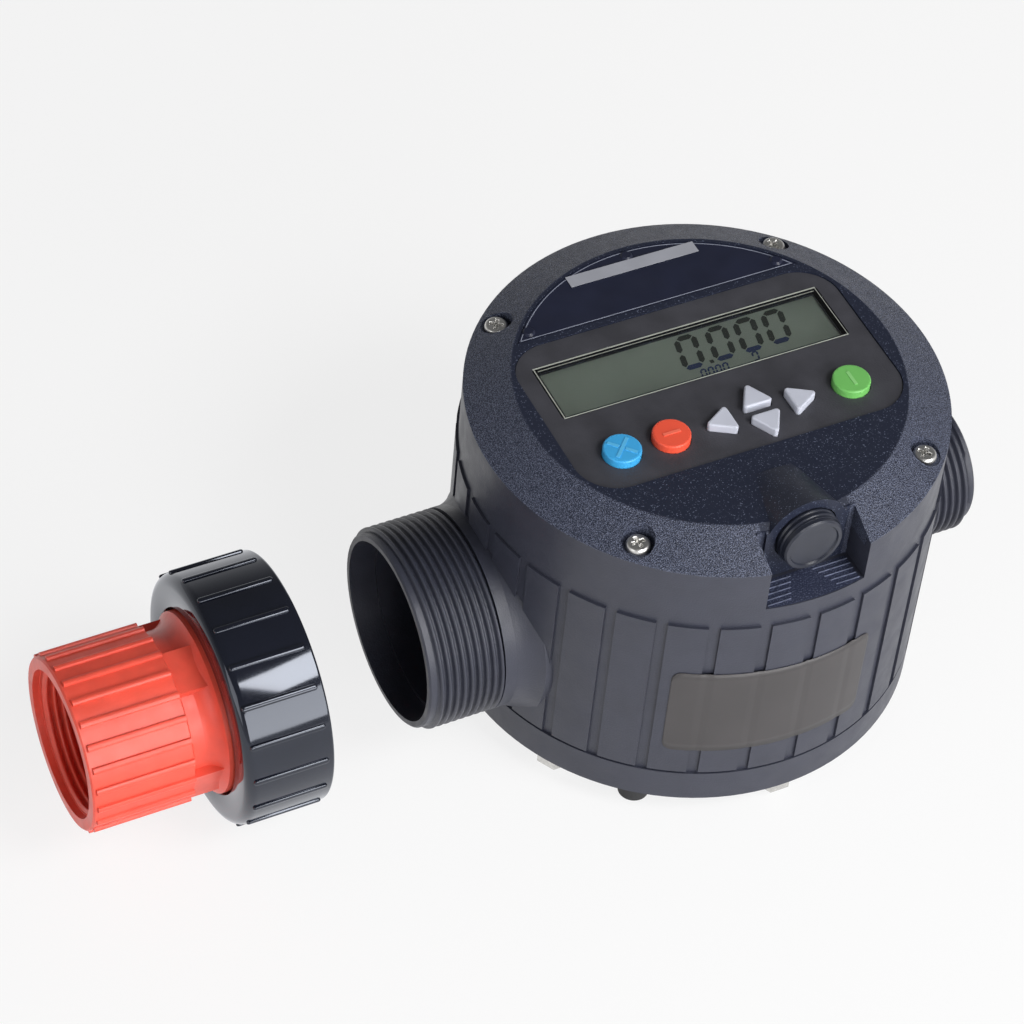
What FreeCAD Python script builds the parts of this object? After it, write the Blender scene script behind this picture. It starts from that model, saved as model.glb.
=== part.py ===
import FreeCAD, Part
import math
import os
from types import SimpleNamespace

import Sketcher

# Liquid flow meter with a round drum housing, a turbine on a vertical shaft, an electronic
# display head, a threaded inlet and outlet, and a union adapter that lies ready on the inlet
# side. Millimetres. X runs along the ports with the inlet at -X, the operator stands at -Y,
# Z is up, and the origin is the centre of the base cover's underside, on the drum's axis.

SIZES = {
    # drum housing
    "foot_height": 7.2, "foot_radius": 5.1, "foot_taper": 0.6, "foot_inset": 5.3,
    "foot_stem_radius": 2.0, "foot_stem_length": 3.0, "foot_socket_spare": 0.2,
    "skirt_radius": 68.3, "pad_proud": 0.8, "band_height": 11.6,
    "seam_width": 0.8, "pad_height": 61.4, "pad_count": 30, "pad_gap": 3.3, "edge_chamfer": 0.7,
    "dry_wall": 14.8, "dry_height": 25.1, "deck_under": 63.2, "deck_thickness": 6.0,
    "ledge_width": 4.5, "ledge_below": 4.0, "ledge_above": 1.0,
    # threaded ports, G 2 inlet and G 1 1/4 outlet, 11 threads per inch
    "port_height": 34.4, "thread_depth": 1.479, "inlet_thread_run": 20.5,
    "outlet_thread_run": 14.0, "lead_run": 2.2, "lead_chamfer": 0.5, "gate_inset": 1.0,
    "inlet_thread_radius": 29.807, "inlet_length": 26.5, "inlet_bore_radius": 25.3,
    "inlet_mouth_radius": 26.5, "inlet_mouth_depth": 8.0, "inlet_flare_radius": 33.8,
    "outlet_thread_radius": 20.955, "outlet_length": 17.6, "outlet_bore_radius": 15.5,
    "outlet_mouth_radius": 16.6, "outlet_mouth_depth": 5.0, "outlet_flare_radius": 25.5,
    "inlet_lead_relief": 1.3, "outlet_lead_relief": 2.0, "flare_arc": 12.0, "flare_run": 3.5,
    "flare_sink": 6.5, "spigot_sink": 2.0, "gate_wall": 11.0, "gate_run": 15.5, "gate_lap": 0.5,
    # base cover and its bolts
    "cover_thickness": 4.4, "cover_rim": 1.5, "cover_ledge": 11.8, "cover_clearance": 0.2,
    "spigot_height": 4.5, "bolt_inset": 4.3, "bolt_radius": 3.0, "bolt_clearance": 0.3,
    "bolt_depth": 21.0, "bolt_spare": 1.0, "bolt_head_radius": 5.77, "bolt_head_height": 4.0,
    "ring_section": 1.13, "ring_groove_depth": 2.3, "ring_groove_width": 2.6, "ring_gap": 0.02,
    # measuring insert
    "insert_clearance": 0.2, "guide_height": 17.5, "guide_inset": 11.0, "guide_floor": 2.0,
    "guide_blade": 1.6, "guide_count": 8, "guide_hub_radius": 8.0, "guide_hub_fillet": 9.0,
    "chamber_bore": 32.0, "chamber_wall": 3.5, "window_height": 12.0, "window_width": 20.0,
    "window_count": 6, "window_cap": 2.0, "bridge_radius": 38.0, "bridge_thickness": 4.0,
    "bush_radius": 6.0, "bush_drop": 6.0, "magnet_cup_gap": 1.5, "magnet_cup_depth": 3.4,
    "shaft_radius": 1.5, "running_clearance": 0.05, "bearing_radius": 3.0,
    "bearing_length": 5.0, "shaft_end_gap": 0.2, "rotor_rise": 3.5, "rotor_height": 13.0,
    "rotor_hub_radius": 9.0, "rotor_nose": 2.5, "rotor_tip_gap": 0.6, "blade_thickness": 1.6,
    "blade_count": 8, "blade_twist": 40.0, "blade_inset": 1.3, "blade_root": 2.0,
    "magnet_radius": 6.0, "magnet_height": 2.2, "magnet_gap": 0.6,
    "sensor_radius": 6.0, "sensor_sink": 4.0, "sensor_height": 14.0,
    "battery_radius": 7.2, "battery_length": 50.0, "battery_offset": 24.0,
    "battery_clearance": 0.1, "holder_wall": 2.0,
    # display cover
    "rebate_depth": 3.0, "rebate_wall": 2.1, "rebate_clearance": 0.2, "cone_width": 13.0,
    "disc_rise": 6.7, "rim_flat": 0.3, "cover_plate": 3.0, "screw_inset": 5.6,
    "screw_pocket_radius": 4.5, "screw_seat": 0.6, "screw_radius": 2.0, "screw_clearance": 0.2,
    "screw_head_radius": 3.4, "screw_head_taper": 0.9, "screw_head_height": 2.0,
    "screw_depth": 15.0, "screw_spare": 1.0, "panel_margin": 4.8, "panel_back": 29.2,
    "panel_front": 28.9, "panel_corner": 12.0, "panel_recess": 1.2, "panel_thickness": 0.8,
    "panel_clearance": 0.15, "pane_margin": 5.5, "pane_front": 0.6, "pane_back": 21.4,
    "pane_corner": 1.2, "pane_sink": 0.9, "pane_ledge": 1.6, "pane_clearance": 0.1,
    "plate_margin": 1.0, "plate_gap": 2.0, "plate_thickness": 0.8, "plate_sink": 0.2,
    "pin_radius": 1.3, "pin_head_radius": 1.9, "pin_depth": 2.1, "pin_head_height": 0.6,
    "pin_back_inset": 2.3, "pin_edge": 1.939, "pin_front_inset": 3.4,
    # keys, with the layout of the keypad
    "button_radius": 5.45, "button_row": 16.7, "reset_x": 35.9, "stop_x": 20.8,
    "start_x": 35.5, "button_proud": 2.4, "button_clearance": 0.2, "flange_overlap": 1.1,
    "flange_thickness": 1.4, "key_travel": 0.8, "key_gap": 0.1,
    "arrow_x": 6.8, "arrow_y": 17.3, "arrow_side_step": 11.9, "arrow_row_step": 4.45,
    "arrow_inradius": 2.85, "arrow_corner": 0.9, "arrow_flange": 0.8,
    "mat_thickness": 1.5, "mat_margin": 8.5, "mat_inset": 0.9, "mat_back": 6.2,
    "board_thickness": 1.6, "board_inset": 6.7, "board_gap": 0.4, "post_radius": 2.5,
    "post_x": 23.0, "post_inset": 9.6, "post_sink": 0.5, "lcd_side_gap": 0.8,
    "lcd_margin": 0.4, "lcd_gap": 0.2,
    # connector
    "notch_half_width": 15.1, "notch_clearance": 0.15, "notch_drop": 14.8,
    "notch_back_inset": 0.8, "notch_depth": 22.8, "block_depth": 10.4, "block_sink": 1.0,
    "socket_rise": 0.9, "hood_setback": 11.1, "hood_length": 19.7, "hood_radius": 12.4,
    "hood_back_half_width": 8.6, "hood_back_rise": 0.3, "hood_back_crown": 0.8,
    "hood_skirt": 3.6, "hood_side_gap": 0.01, "socket_inset": 2.6, "socket_flange_radius": 9.4,
    "socket_flange_thickness": 2.5, "socket_radius": 7.6, "socket_length": 4.9,
    "socket_clearance": 0.1, "socket_wall": 1.4, "plug_head_radius": 8.9, "plug_head_depth": 7.6,
    "plug_lip": 1.5, "plug_dish": 0.5, "plug_dish_slope": 0.3, "plug_chamfer": 0.5,
    "plug_web": 0.6, "plug_spigot_length": 5.0, "plug_clearance": 0.1, "plug_wall": 1.3,
    "contact_radius": 0.5, "contact_circle": 3.0, "contact_length": 3.6, "contact_count": 5,
    # union nut and threaded adapter on the inlet side
    "union_gap": 32.0, "nut_length": 26.0, "nut_radius": 37.2, "nut_rib_proud": 0.7,
    "nut_bore_gap": 0.3, "nut_flange": 4.6, "nut_hole_gap": 0.7, "nut_round": 3.2,
    "nut_edge": 0.8, "nut_rib_count": 20, "nut_rib_width": 1.8, "nut_rib_margin": 1.9,
    "nut_rib_phase": 10.5, "nut_rib_root": 1.5, "adapter_reach": 40.1, "adapter_radius": 25.0,
    "adapter_chamfer": 0.5, "adapter_rib_proud": 0.6, "adapter_rib_count": 24,
    "adapter_rib_width": 1.7, "adapter_rib_margin": 1.2, "adapter_rib_root": 1.0,
    "adapter_grip": 29.5, "adapter_grip_slope": 1.0, "adapter_neck_radius": 22.6,
    "adapter_flare_radius": 26.4, "adapter_flare_run": 5.0, "adapter_flare_arc": 7.0,
    "adapter_flare_gap": 1.0, "adapter_lug_count": 4, "adapter_lug_phase": 15.0,
    "adapter_lug_width": 13.0, "adapter_lug_root": 2.5, "collar_radius": 28.0,
    "collar_thickness": 4.6, "collar_gap": 0.15, "adapter_thread_radius": 20.955,
    "adapter_thread_run": 21.0, "adapter_bore_slope": 3.0, "adapter_mouth_radius": 21.4,
    "adapter_mouth_depth": 2.0, "adapter_bore_radius": 17.0, "gasket_step": 1.0,
    "gasket_margin": 0.6, "gasket_thickness": 2.0,
    # how far a cutting tool runs past the face that it opens
    "overrun": 1.0,
}


class Size:
    """A length or an angle that carries its value and its formula in the spreadsheet."""

    def __init__(self, value, text):
        self.value = float(value)
        self.text = text

    def __add__(self, other):
        other = as_size(other)
        return Size(self.value + other.value, "(%s + %s)" % (self.text, other.text))

    def __sub__(self, other):
        other = as_size(other)
        return Size(self.value - other.value, "(%s - %s)" % (self.text, other.text))

    def __mul__(self, other):
        other = as_size(other)
        return Size(self.value * other.value, "(%s * %s)" % (self.text, other.text))

    def __truediv__(self, other):
        other = as_size(other)
        return Size(self.value / other.value, "(%s / %s)" % (self.text, other.text))

    def __rsub__(self, other):
        return as_size(other) - self

    def __neg__(self):
        return as_size(0.0) - self

    __radd__ = __add__
    __rmul__ = __mul__


def as_size(number):
    return number if isinstance(number, Size) else Size(number, "(%.9f)" % number)


def half_chord(radius, offset):
    """Half the chord that a line cuts from a circle at this distance from its centre."""
    radius, offset = as_size(radius), as_size(offset)
    value = math.sqrt(radius.value ** 2 - offset.value ** 2)
    return Size(value, "sqrt(%s * %s - %s * %s)" % (radius.text, radius.text, offset.text, offset.text))


def turned(radius, degrees):
    """X and Y of a point at this radius and direction."""
    angle = math.radians(degrees)
    return radius * math.cos(angle), radius * math.sin(angle)


doc = FreeCAD.newDocument("FlowMeter")
sheet = doc.addObject("Spreadsheet::Sheet", "Sizes")
for row, (alias, number) in enumerate(SIZES.items(), 1):
    sheet.set("A%d" % row, alias)
    sheet.set("B%d" % row, str(number))
    sheet.setAlias("B%d" % row, alias)
doc.recompute()
S = SimpleNamespace(**{alias: Size(sheet.get(alias), "Sizes." + alias) for alias in SIZES})
nodes = []

# ---------------------------------------------------------------- modelling helpers


def bind(thing, name, size):
    """Sets a property from a size and ties it to the size's formula."""
    thing.setExpression(name, as_size(size).text)


def keep(thing, label):
    """Gives a finished sub-part its own label and lists it for export."""
    thing.Label = label
    nodes.append(thing)
    return thing


def make_body(label):
    return keep(doc.addObject("PartDesign::Body", label), label)


def plane_sketch(body, role, name, shift=(0, 0, 0), turn=0.0):
    """A sketch on one of the body's own origin planes, moved in that plane's directions."""
    sketch = body.newObject("Sketcher::SketchObject", name)
    plane = next(item for item in body.Origin.OriginFeatures if item.Role == role)
    sketch.AttachmentSupport = [(plane, "")]
    sketch.MapMode = "FlatFace"
    values = [as_size(part) for part in shift]
    start = FreeCAD.Vector(*[part.value for part in values])
    turn = as_size(turn)
    rotation = FreeCAD.Rotation(FreeCAD.Vector(0, 0, 1), turn.value)
    sketch.AttachmentOffset = FreeCAD.Placement(start, rotation)
    for letter, part in zip("xyz", values):
        bind(sketch, "AttachmentOffset.Base." + letter, part)
    if turn.value:
        bind(sketch, "AttachmentOffset.Rotation.Angle", turn)
    return sketch


def pin_point(sketch, item, end, x, y):
    """Fixes one point of a sketch at x, y, on an axis where the number is a plain zero."""
    for kind, axis, number in (("DistanceX", -2, x), ("DistanceY", -1, y)):
        if not isinstance(number, Size) and number == 0:
            sketch.addConstraint(Sketcher.Constraint("PointOnObject", item, end, axis))
            continue
        size = as_size(number)
        index = sketch.addConstraint(Sketcher.Constraint(kind, -1, 1, item, end, size.value))
        bind(sketch, "Constraints[%d]" % index, size)


def circle(sketch, x, y, radius):
    x_value, y_value, radius = as_size(x).value, as_size(y).value, as_size(radius)
    centre = FreeCAD.Vector(x_value, y_value, 0)
    item = sketch.addGeometry(Part.Circle(centre, FreeCAD.Vector(0, 0, 1), radius.value))
    pin_point(sketch, item, 3, x, y)
    index = sketch.addConstraint(Sketcher.Constraint("Radius", item, radius.value))
    bind(sketch, "Constraints[%d]" % index, radius)


def arc_between(start, end, radius):
    """The shorter arc from start to end, counter-clockwise where the radius is positive."""
    chord = end - start
    half = chord.Length / 2
    rise = math.sqrt(max(radius * radius - half * half, 0.0))
    side = FreeCAD.Vector(-chord.y, chord.x, 0).normalize() * math.copysign(rise, radius)
    centre = (start + end) / 2 + side
    first, last = (start, end) if radius > 0 else (end, start)
    angles = [math.atan2(point.y - centre.y, point.x - centre.x) for point in (first, last)]
    round_line = Part.Circle(centre, FreeCAD.Vector(0, 0, 1), abs(radius))
    return Part.ArcOfCircle(round_line, angles[0], angles[1])


def outline(sketch, points):
    """A closed outline. A point's third entry is the radius of the arc that arrives there."""
    spots = [FreeCAD.Vector(as_size(p[0]).value, as_size(p[1]).value, 0) for p in points]
    pieces = []
    for number, point in enumerate(points):
        start, end = spots[number - 1], spots[number]
        if len(point) == 2:
            item = sketch.addGeometry(Part.LineSegment(start, end))
            pieces.append((item, 1, 2))
        else:
            radius = as_size(point[2])
            item = sketch.addGeometry(arc_between(start, end, radius.value))
            ends = (1, 2) if radius.value > 0 else (2, 1)
            pieces.append((item,) + ends)
            size = radius if radius.value > 0 else -radius
            index = sketch.addConstraint(Sketcher.Constraint("Radius", item, size.value))
            bind(sketch, "Constraints[%d]" % index, size)
    for number, point in enumerate(points):
        item, _, end = pieces[number]
        following, start, _ = pieces[(number + 1) % len(pieces)]
        sketch.addConstraint(Sketcher.Constraint("Coincident", item, end, following, start))
        pin_point(sketch, item, end, point[0], point[1])


def rectangle(sketch, left, right, front, back):
    outline(sketch, [(left, front), (right, front), (right, back), (left, back)])


def rounded_rectangle(sketch, left, right, front, back, corner):
    outline(sketch, [
        (left + corner, front), (right - corner, front), (right, front + corner, corner),
        (right, back - corner), (right - corner, back, corner),
        (left + corner, back), (left, back - corner, corner),
        (left, front + corner), (left + corner, front, corner)][1:])


def triangle(sketch, x, y, heading, inradius, corner):
    """A three-sided outline with round corners that points in the heading."""
    points = []
    for tip in (heading, heading + 120, heading + 240):
        away_x, away_y = turned((inradius - corner) * 2, tip)
        for side in (-60, 60):
            step_x, step_y = turned(corner, tip + side)
            spot = (x + away_x + step_x, y + away_y + step_y)
            points.append(spot if side < 0 else spot + (corner,))
    outline(sketch, points)


def revolve(body, sketch, name, axis="V_Axis", cut=False):
    kind = "PartDesign::Groove" if cut else "PartDesign::Revolution"
    feature = body.newObject(kind, name)
    feature.Profile = sketch
    feature.ReferenceAxis = (sketch, [axis])
    feature.Angle = 360.0
    return feature


def extrude(body, sketch, name, length, cut=False, reverse=False):
    feature = body.newObject("PartDesign::Pocket" if cut else "PartDesign::Pad", name)
    feature.Profile = sketch
    bind(feature, "Length", length)
    feature.Reversed = reverse
    return feature


def polar(body, feature, name, count, role="Z_Axis"):
    """Repeats a feature round one of the body's own origin axes."""
    pattern = body.newObject("PartDesign::PolarPattern", name)
    pattern.Originals = [feature]
    axis = next(item for item in body.Origin.OriginFeatures if item.Role == role)
    pattern.Axis = (axis, [""])
    pattern.Angle = 360.0
    bind(pattern, "Occurrences", count)
    body.Tip = pattern
    return pattern


TURN_TO = {
    "Z": FreeCAD.Rotation(),
    "X": FreeCAD.Rotation(FreeCAD.Vector(0, 1, 0), 90),
    "-Y": FreeCAD.Rotation(FreeCAD.Vector(1, 0, 0), 90),
}


def place(thing, x=0.0, y=0.0, z=0.0, towards="Z"):
    values = [as_size(part) for part in (x, y, z)]
    spot = FreeCAD.Vector(*[part.value for part in values])
    thing.Placement = FreeCAD.Placement(spot, TURN_TO[towards])
    for letter, part in zip("xyz", values):
        bind(thing, "Placement.Base." + letter, part)
    return thing


def cylinder(name, radius, height, x=0.0, y=0.0, z=0.0, towards="Z"):
    thing = doc.addObject("Part::Cylinder", name)
    bind(thing, "Radius", radius)
    bind(thing, "Height", height)
    return place(thing, x, y, z, towards)


def box(name, length, width, height, x, y, z):
    thing = doc.addObject("Part::Box", name)
    bind(thing, "Length", length)
    bind(thing, "Width", width)
    bind(thing, "Height", height)
    return place(thing, x, y, z)


def ring(name, middle_radius, section_radius, z):
    thing = doc.addObject("Part::Torus", name)
    bind(thing, "Radius1", middle_radius)
    bind(thing, "Radius2", section_radius)
    return place(thing, z=z)


def cut(name, base, tool):
    thing = doc.addObject("Part::Cut", name)
    thing.Base = base
    thing.Tool = tool
    return thing


def fuse(name, shapes):
    thing = doc.addObject("Part::MultiFuse", name)
    thing.Shapes = shapes
    return thing


# ---------------------------------------------------------------- levels and shared places

rebate_radius = S.skirt_radius - S.rebate_wall
cover_radius = S.skirt_radius - S.cover_rim
wet_radius = cover_radius - S.cover_ledge
dry_radius = S.skirt_radius - S.dry_wall
ledge_radius = wet_radius - S.ledge_width
insert_radius = wet_radius - S.insert_clearance
bore_floor = wet_radius + S.gate_wall
inlet_reach = S.skirt_radius + S.inlet_length
outlet_reach = S.skirt_radius + S.outlet_length
disc_radius = S.skirt_radius - S.cone_width
cavity_radius = disc_radius - S.cover_plate
bolt_circle = cover_radius - S.bolt_inset
foot_circle = cover_radius - S.foot_inset
screw_circle = S.skirt_radius - S.screw_inset
hood_reach = S.skirt_radius - S.hood_setback
hood_start = hood_reach - S.hood_length
notch_back = hood_reach - S.notch_back_inset
socket_front = hood_reach - S.socket_inset
panel_half_width = disc_radius - S.panel_margin
pane_half_width = panel_half_width - S.pane_margin
board_radius = cavity_radius - S.board_inset
plate_radius = disc_radius - S.plate_margin
plate_front = S.panel_back + S.plate_gap
base_under = 0.0
bench = -S.foot_height
base_top = base_under + S.cover_thickness
spigot_top = base_top + S.spigot_height
port_axis = base_under + S.port_height
ledge_under = port_axis - S.ledge_below
ledge_top = port_axis + S.ledge_above
deck_under = base_under + S.deck_under
deck_top = deck_under + S.deck_thickness
drum_top = deck_top + S.dry_height
rebate_floor = drum_top - S.rebate_depth
disc_top = drum_top + S.disc_rise
plate_under = disc_top - S.cover_plate
pad_radius = S.skirt_radius + S.pad_proud
band_top = base_under + S.band_height
pad_bottom = band_top + S.seam_width
pad_top = pad_bottom + S.pad_height
socket_axis = drum_top + S.socket_rise
notch_floor = socket_axis - S.notch_drop
ring_radius = wet_radius - S.ring_section - S.ring_gap
flange_top = ledge_under
guide_top = spigot_top + S.guide_height
rotor_bottom = guide_top + S.rotor_rise
rotor_top = rotor_bottom + S.rotor_height
bridge_under = deck_under - S.bridge_thickness
socket_shoulder = socket_front - S.socket_flange_thickness
bolt_directions = [-150, -90, -30, 30, 90, 150]
foot_directions = [-127.5, -52.5, 52.5, 127.5]
screw_directions = [-135, -45, 45, 135]

# ---------------------------------------------------------------- drum housing


def port_profile(body, name, side, reach, thread, run, relief, flare):
    """A threaded spigot on the side of the drum that flares into the wall."""
    root = thread - S.thread_depth
    lead = thread - relief
    sketch = plane_sketch(body, "XZ_Plane", name + "_profile", (0, port_axis, 0))
    thread_end = reach - S.lead_run - run
    inner = wet_radius + S.spigot_sink
    flare_x = S.skirt_radius - S.flare_sink
    outline(sketch, [
        (inner * side, 0), (inner * side, flare), (flare_x * side, flare),
        ((thread_end - S.flare_run) * side, thread, S.flare_arc * side), (thread_end * side, thread),
        (thread_end * side, root), ((reach - S.lead_run) * side, root),
        ((reach - S.lead_run) * side, lead), ((reach - S.lead_chamfer) * side, lead),
        (reach * side, lead - S.lead_chamfer), (reach * side, 0)])
    return revolve(body, sketch, name, "H_Axis")


def port_bore(body, name, side, reach, bore, mouth, mouth_depth):
    sketch = plane_sketch(body, "XZ_Plane", name + "_profile", (0, port_axis, 0))
    outline(sketch, [
        (bore_floor * side, 0), (bore_floor * side, bore),
        ((reach - mouth_depth) * side, bore), ((reach - mouth_depth) * side, mouth),
        ((reach + S.overrun) * side, mouth), ((reach + S.overrun) * side, 0)])
    return revolve(body, sketch, name, "H_Axis", cut=True)


def make_housing():
    body = make_body("housing")
    profile = plane_sketch(body, "XZ_Plane", "drum_profile")
    chamfer = S.edge_chamfer
    outline(profile, [
        (0, base_under), (pad_radius - chamfer, base_under), (pad_radius, base_under + chamfer),
        (pad_radius, band_top), (S.skirt_radius, band_top), (S.skirt_radius, pad_bottom),
        (pad_radius, pad_bottom), (pad_radius, pad_top), (S.skirt_radius, pad_top),
        (S.skirt_radius, drum_top), (rebate_radius, drum_top), (rebate_radius, rebate_floor),
        (dry_radius, rebate_floor), (dry_radius, deck_top), (0, deck_top)])
    revolve(body, profile, "drum")
    gaps = plane_sketch(body, "XY_Plane", "pad_gap_outline", (0, 0, band_top))
    rectangle(gaps, -S.pad_gap / 2, S.pad_gap / 2, S.skirt_radius, pad_radius + S.overrun)
    gap = extrude(body, gaps, "pad_gap", pad_top - band_top, cut=True, reverse=True)
    polar(body, gap, "pad_gaps", S.pad_count)
    port_profile(body, "inlet_spigot", -1.0, inlet_reach, S.inlet_thread_radius,
                 S.inlet_thread_run, S.inlet_lead_relief, S.inlet_flare_radius)
    port_profile(body, "outlet_spigot", 1.0, outlet_reach, S.outlet_thread_radius,
                 S.outlet_thread_run, S.outlet_lead_relief, S.outlet_flare_radius)
    wet = plane_sketch(body, "XZ_Plane", "wet_profile")
    outline(wet, [
        (0, base_under - S.overrun), (cover_radius + S.cover_clearance, base_under - S.overrun),
        (cover_radius + S.cover_clearance, base_top), (wet_radius, base_top),
        (wet_radius, ledge_under), (ledge_radius, ledge_under),
        (ledge_radius, ledge_top), (wet_radius, ledge_top),
        (wet_radius, deck_under), (0, deck_under)])
    revolve(body, wet, "wet_chamber", cut=True)
    port_bore(body, "inlet_bore", -1.0, inlet_reach, S.inlet_bore_radius,
              S.inlet_mouth_radius, S.inlet_mouth_depth)
    port_bore(body, "outlet_bore", 1.0, outlet_reach, S.outlet_bore_radius,
              S.outlet_mouth_radius, S.outlet_mouth_depth)
    gate = plane_sketch(body, "YZ_Plane", "inlet_gate_outline", (0, port_axis, -bore_floor - S.gate_lap))
    radius = S.inlet_bore_radius - S.gate_inset
    reach = half_chord(radius, S.ledge_below)
    outline(gate, [(reach, -S.ledge_below), (-reach, -S.ledge_below),
                   (reach, -S.ledge_below, radius)][1:])
    extrude(body, gate, "inlet_gate", S.gate_run + S.gate_lap, cut=True, reverse=True)
    gate = plane_sketch(body, "YZ_Plane", "outlet_gate_outline", (0, port_axis, bore_floor + S.gate_lap))
    radius = S.outlet_bore_radius - S.gate_inset
    reach = half_chord(radius, S.ledge_above)
    outline(gate, [(-reach, S.ledge_above), (reach, S.ledge_above),
                   (-reach, S.ledge_above, radius)][1:])
    extrude(body, gate, "outlet_gate", S.gate_run + S.gate_lap, cut=True)
    holes = plane_sketch(body, "XY_Plane", "bolt_hole_circles", (0, 0, base_top))
    for direction in bolt_directions:
        x, y = turned(bolt_circle, direction)
        circle(holes, x, y, S.bolt_radius + S.running_clearance)
    extrude(body, holes, "bolt_holes", S.bolt_depth + S.bolt_spare, cut=True, reverse=True)
    holes = plane_sketch(body, "XY_Plane", "screw_hole_circles", (0, 0, rebate_floor))
    for direction in screw_directions:
        x, y = turned(screw_circle, direction)
        circle(holes, x, y, S.screw_radius + S.running_clearance)
    extrude(body, holes, "screw_holes", S.screw_depth + S.screw_spare, cut=True)
    well = plane_sketch(body, "XY_Plane", "sensor_well_circle", (0, 0, deck_top))
    circle(well, 0, 0, S.sensor_radius + S.running_clearance)
    extrude(body, well, "sensor_well", S.sensor_sink, cut=True)
    notch = plane_sketch(body, "XY_Plane", "notch_outline", (0, 0, notch_floor))
    width = S.notch_half_width + S.notch_clearance
    rectangle(notch, -width, width, -pad_radius - S.overrun, -(S.skirt_radius - S.notch_depth))
    extrude(body, notch, "notch", drum_top - notch_floor + S.overrun, cut=True, reverse=True)


# ---------------------------------------------------------------- base


def ring_groove(body, name, radius, level):
    """A groove for an O-ring round an outer wall, with its middle at this level."""
    sketch = plane_sketch(body, "XZ_Plane", name + "_profile", (0, level, 0))
    half = S.ring_groove_width / 2
    rectangle(sketch, radius - S.ring_groove_depth, radius + S.overrun, -half, half)
    revolve(body, sketch, name, cut=True)


base_ring_level = base_top + S.spigot_height / 2
chamber_ring_level = (guide_top + flange_top) / 2


def make_base():
    body = make_body("base_cover")
    profile = plane_sketch(body, "XZ_Plane", "cover_profile")
    outline(profile, [
        (0, base_under), (cover_radius, base_under), (cover_radius, base_top),
        (insert_radius, base_top), (insert_radius, spigot_top), (0, spigot_top)])
    revolve(body, profile, "cover_plate")
    ring_groove(body, "ring_groove", insert_radius, base_ring_level)
    holes = plane_sketch(body, "XY_Plane", "hole_circles", (0, 0, base_under))
    for direction in bolt_directions:
        x, y = turned(bolt_circle, direction)
        circle(holes, x, y, S.bolt_radius + S.bolt_clearance)
    extrude(body, holes, "bolt_holes", S.cover_thickness, cut=True, reverse=True)
    sockets = plane_sketch(body, "XY_Plane", "foot_socket_circles", (0, 0, base_under))
    for direction in foot_directions:
        x, y = turned(foot_circle, direction)
        circle(sockets, x, y, S.foot_stem_radius)
    extrude(body, sockets, "foot_sockets", S.foot_stem_length + S.foot_socket_spare, cut=True,
            reverse=True)

    parts = []
    for number, direction in enumerate(bolt_directions):
        x, y = turned(bolt_circle, direction)
        head = doc.addObject("Part::Prism", "bolt_head_%d" % number)
        head.Polygon = 6
        bind(head, "Circumradius", S.bolt_head_radius)
        bind(head, "Height", S.bolt_head_height)
        place(head, x, y, base_under - S.bolt_head_height)
        length = S.cover_thickness + S.bolt_depth
        parts += [head, cylinder("bolt_shank_%d" % number, S.bolt_radius, length, x, y, base_under)]
    keep(fuse("base_bolts", parts), "base_bolts")

    parts = []
    for number, direction in enumerate(foot_directions):
        x, y = turned(foot_circle, direction)
        pad = doc.addObject("Part::Cone", "foot_pad_%d" % number)
        bind(pad, "Radius1", S.foot_radius - S.foot_taper)
        bind(pad, "Radius2", S.foot_radius)
        bind(pad, "Height", S.foot_height)
        place(pad, x, y, bench)
        stem = S.foot_height + S.foot_stem_length
        parts += [pad, cylinder("foot_stem_%d" % number, S.foot_stem_radius, stem, x, y, bench)]
    keep(fuse("base_feet", parts), "base_feet")
    keep(ring("base_o_ring", ring_radius, S.ring_section, base_ring_level), "base_o_ring")


# ---------------------------------------------------------------- measuring insert

bearing_level = guide_top - S.bearing_length
upper_bearing_level = bridge_under - S.bush_drop
magnet_floor = deck_under - S.magnet_cup_depth
magnet_level = deck_under - S.magnet_gap - S.magnet_height


def make_flow_guide():
    body = make_body("flow_straightener")
    profile = plane_sketch(body, "XZ_Plane", "guide_profile")
    fillet = S.guide_hub_fillet
    guide_radius = wet_radius - S.guide_inset
    outline(profile, [
        (0, spigot_top), (guide_radius, spigot_top), (guide_radius, spigot_top + S.guide_floor),
        (S.guide_hub_radius + fillet, spigot_top + S.guide_floor),
        (S.guide_hub_radius, spigot_top + S.guide_floor + fillet, -fillet),
        (S.guide_hub_radius, guide_top), (0, guide_top)])
    revolve(body, profile, "floor_and_hub")
    vane = plane_sketch(body, "XY_Plane", "vane_outline", (0, 0, spigot_top))
    half = S.guide_blade / 2
    rectangle(vane, S.guide_hub_radius / 2, guide_radius, -half, half)
    vane = extrude(body, vane, "vane", S.guide_height)
    polar(body, vane, "vanes", S.guide_count)
    pocket = plane_sketch(body, "XY_Plane", "bearing_circle", (0, 0, guide_top))
    circle(pocket, 0, 0, S.bearing_radius)
    extrude(body, pocket, "bearing_pocket", S.bearing_length, cut=True)


def make_chamber():
    body = make_body("measuring_chamber")
    outer = S.chamber_bore + S.chamber_wall
    profile = plane_sketch(body, "XZ_Plane", "chamber_profile")
    outline(profile, [
        (S.chamber_bore, guide_top), (insert_radius, guide_top), (insert_radius, flange_top),
        (outer, flange_top), (outer, bridge_under), (S.chamber_bore, bridge_under)])
    revolve(body, profile, "tube_and_flange")
    ring_groove(body, "ring_groove", insert_radius, chamber_ring_level)
    top = bridge_under - S.window_cap
    window = plane_sketch(body, "XY_Plane", "window_outline", (0, 0, top))
    half = S.window_width / 2
    rectangle(window, -half, half, S.chamber_bore / 2, outer + S.overrun)
    window = extrude(body, window, "window", S.window_height, cut=True)
    polar(body, window, "windows", S.window_count)
    keep(ring("chamber_o_ring", ring_radius, S.ring_section, chamber_ring_level), "chamber_o_ring")


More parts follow.
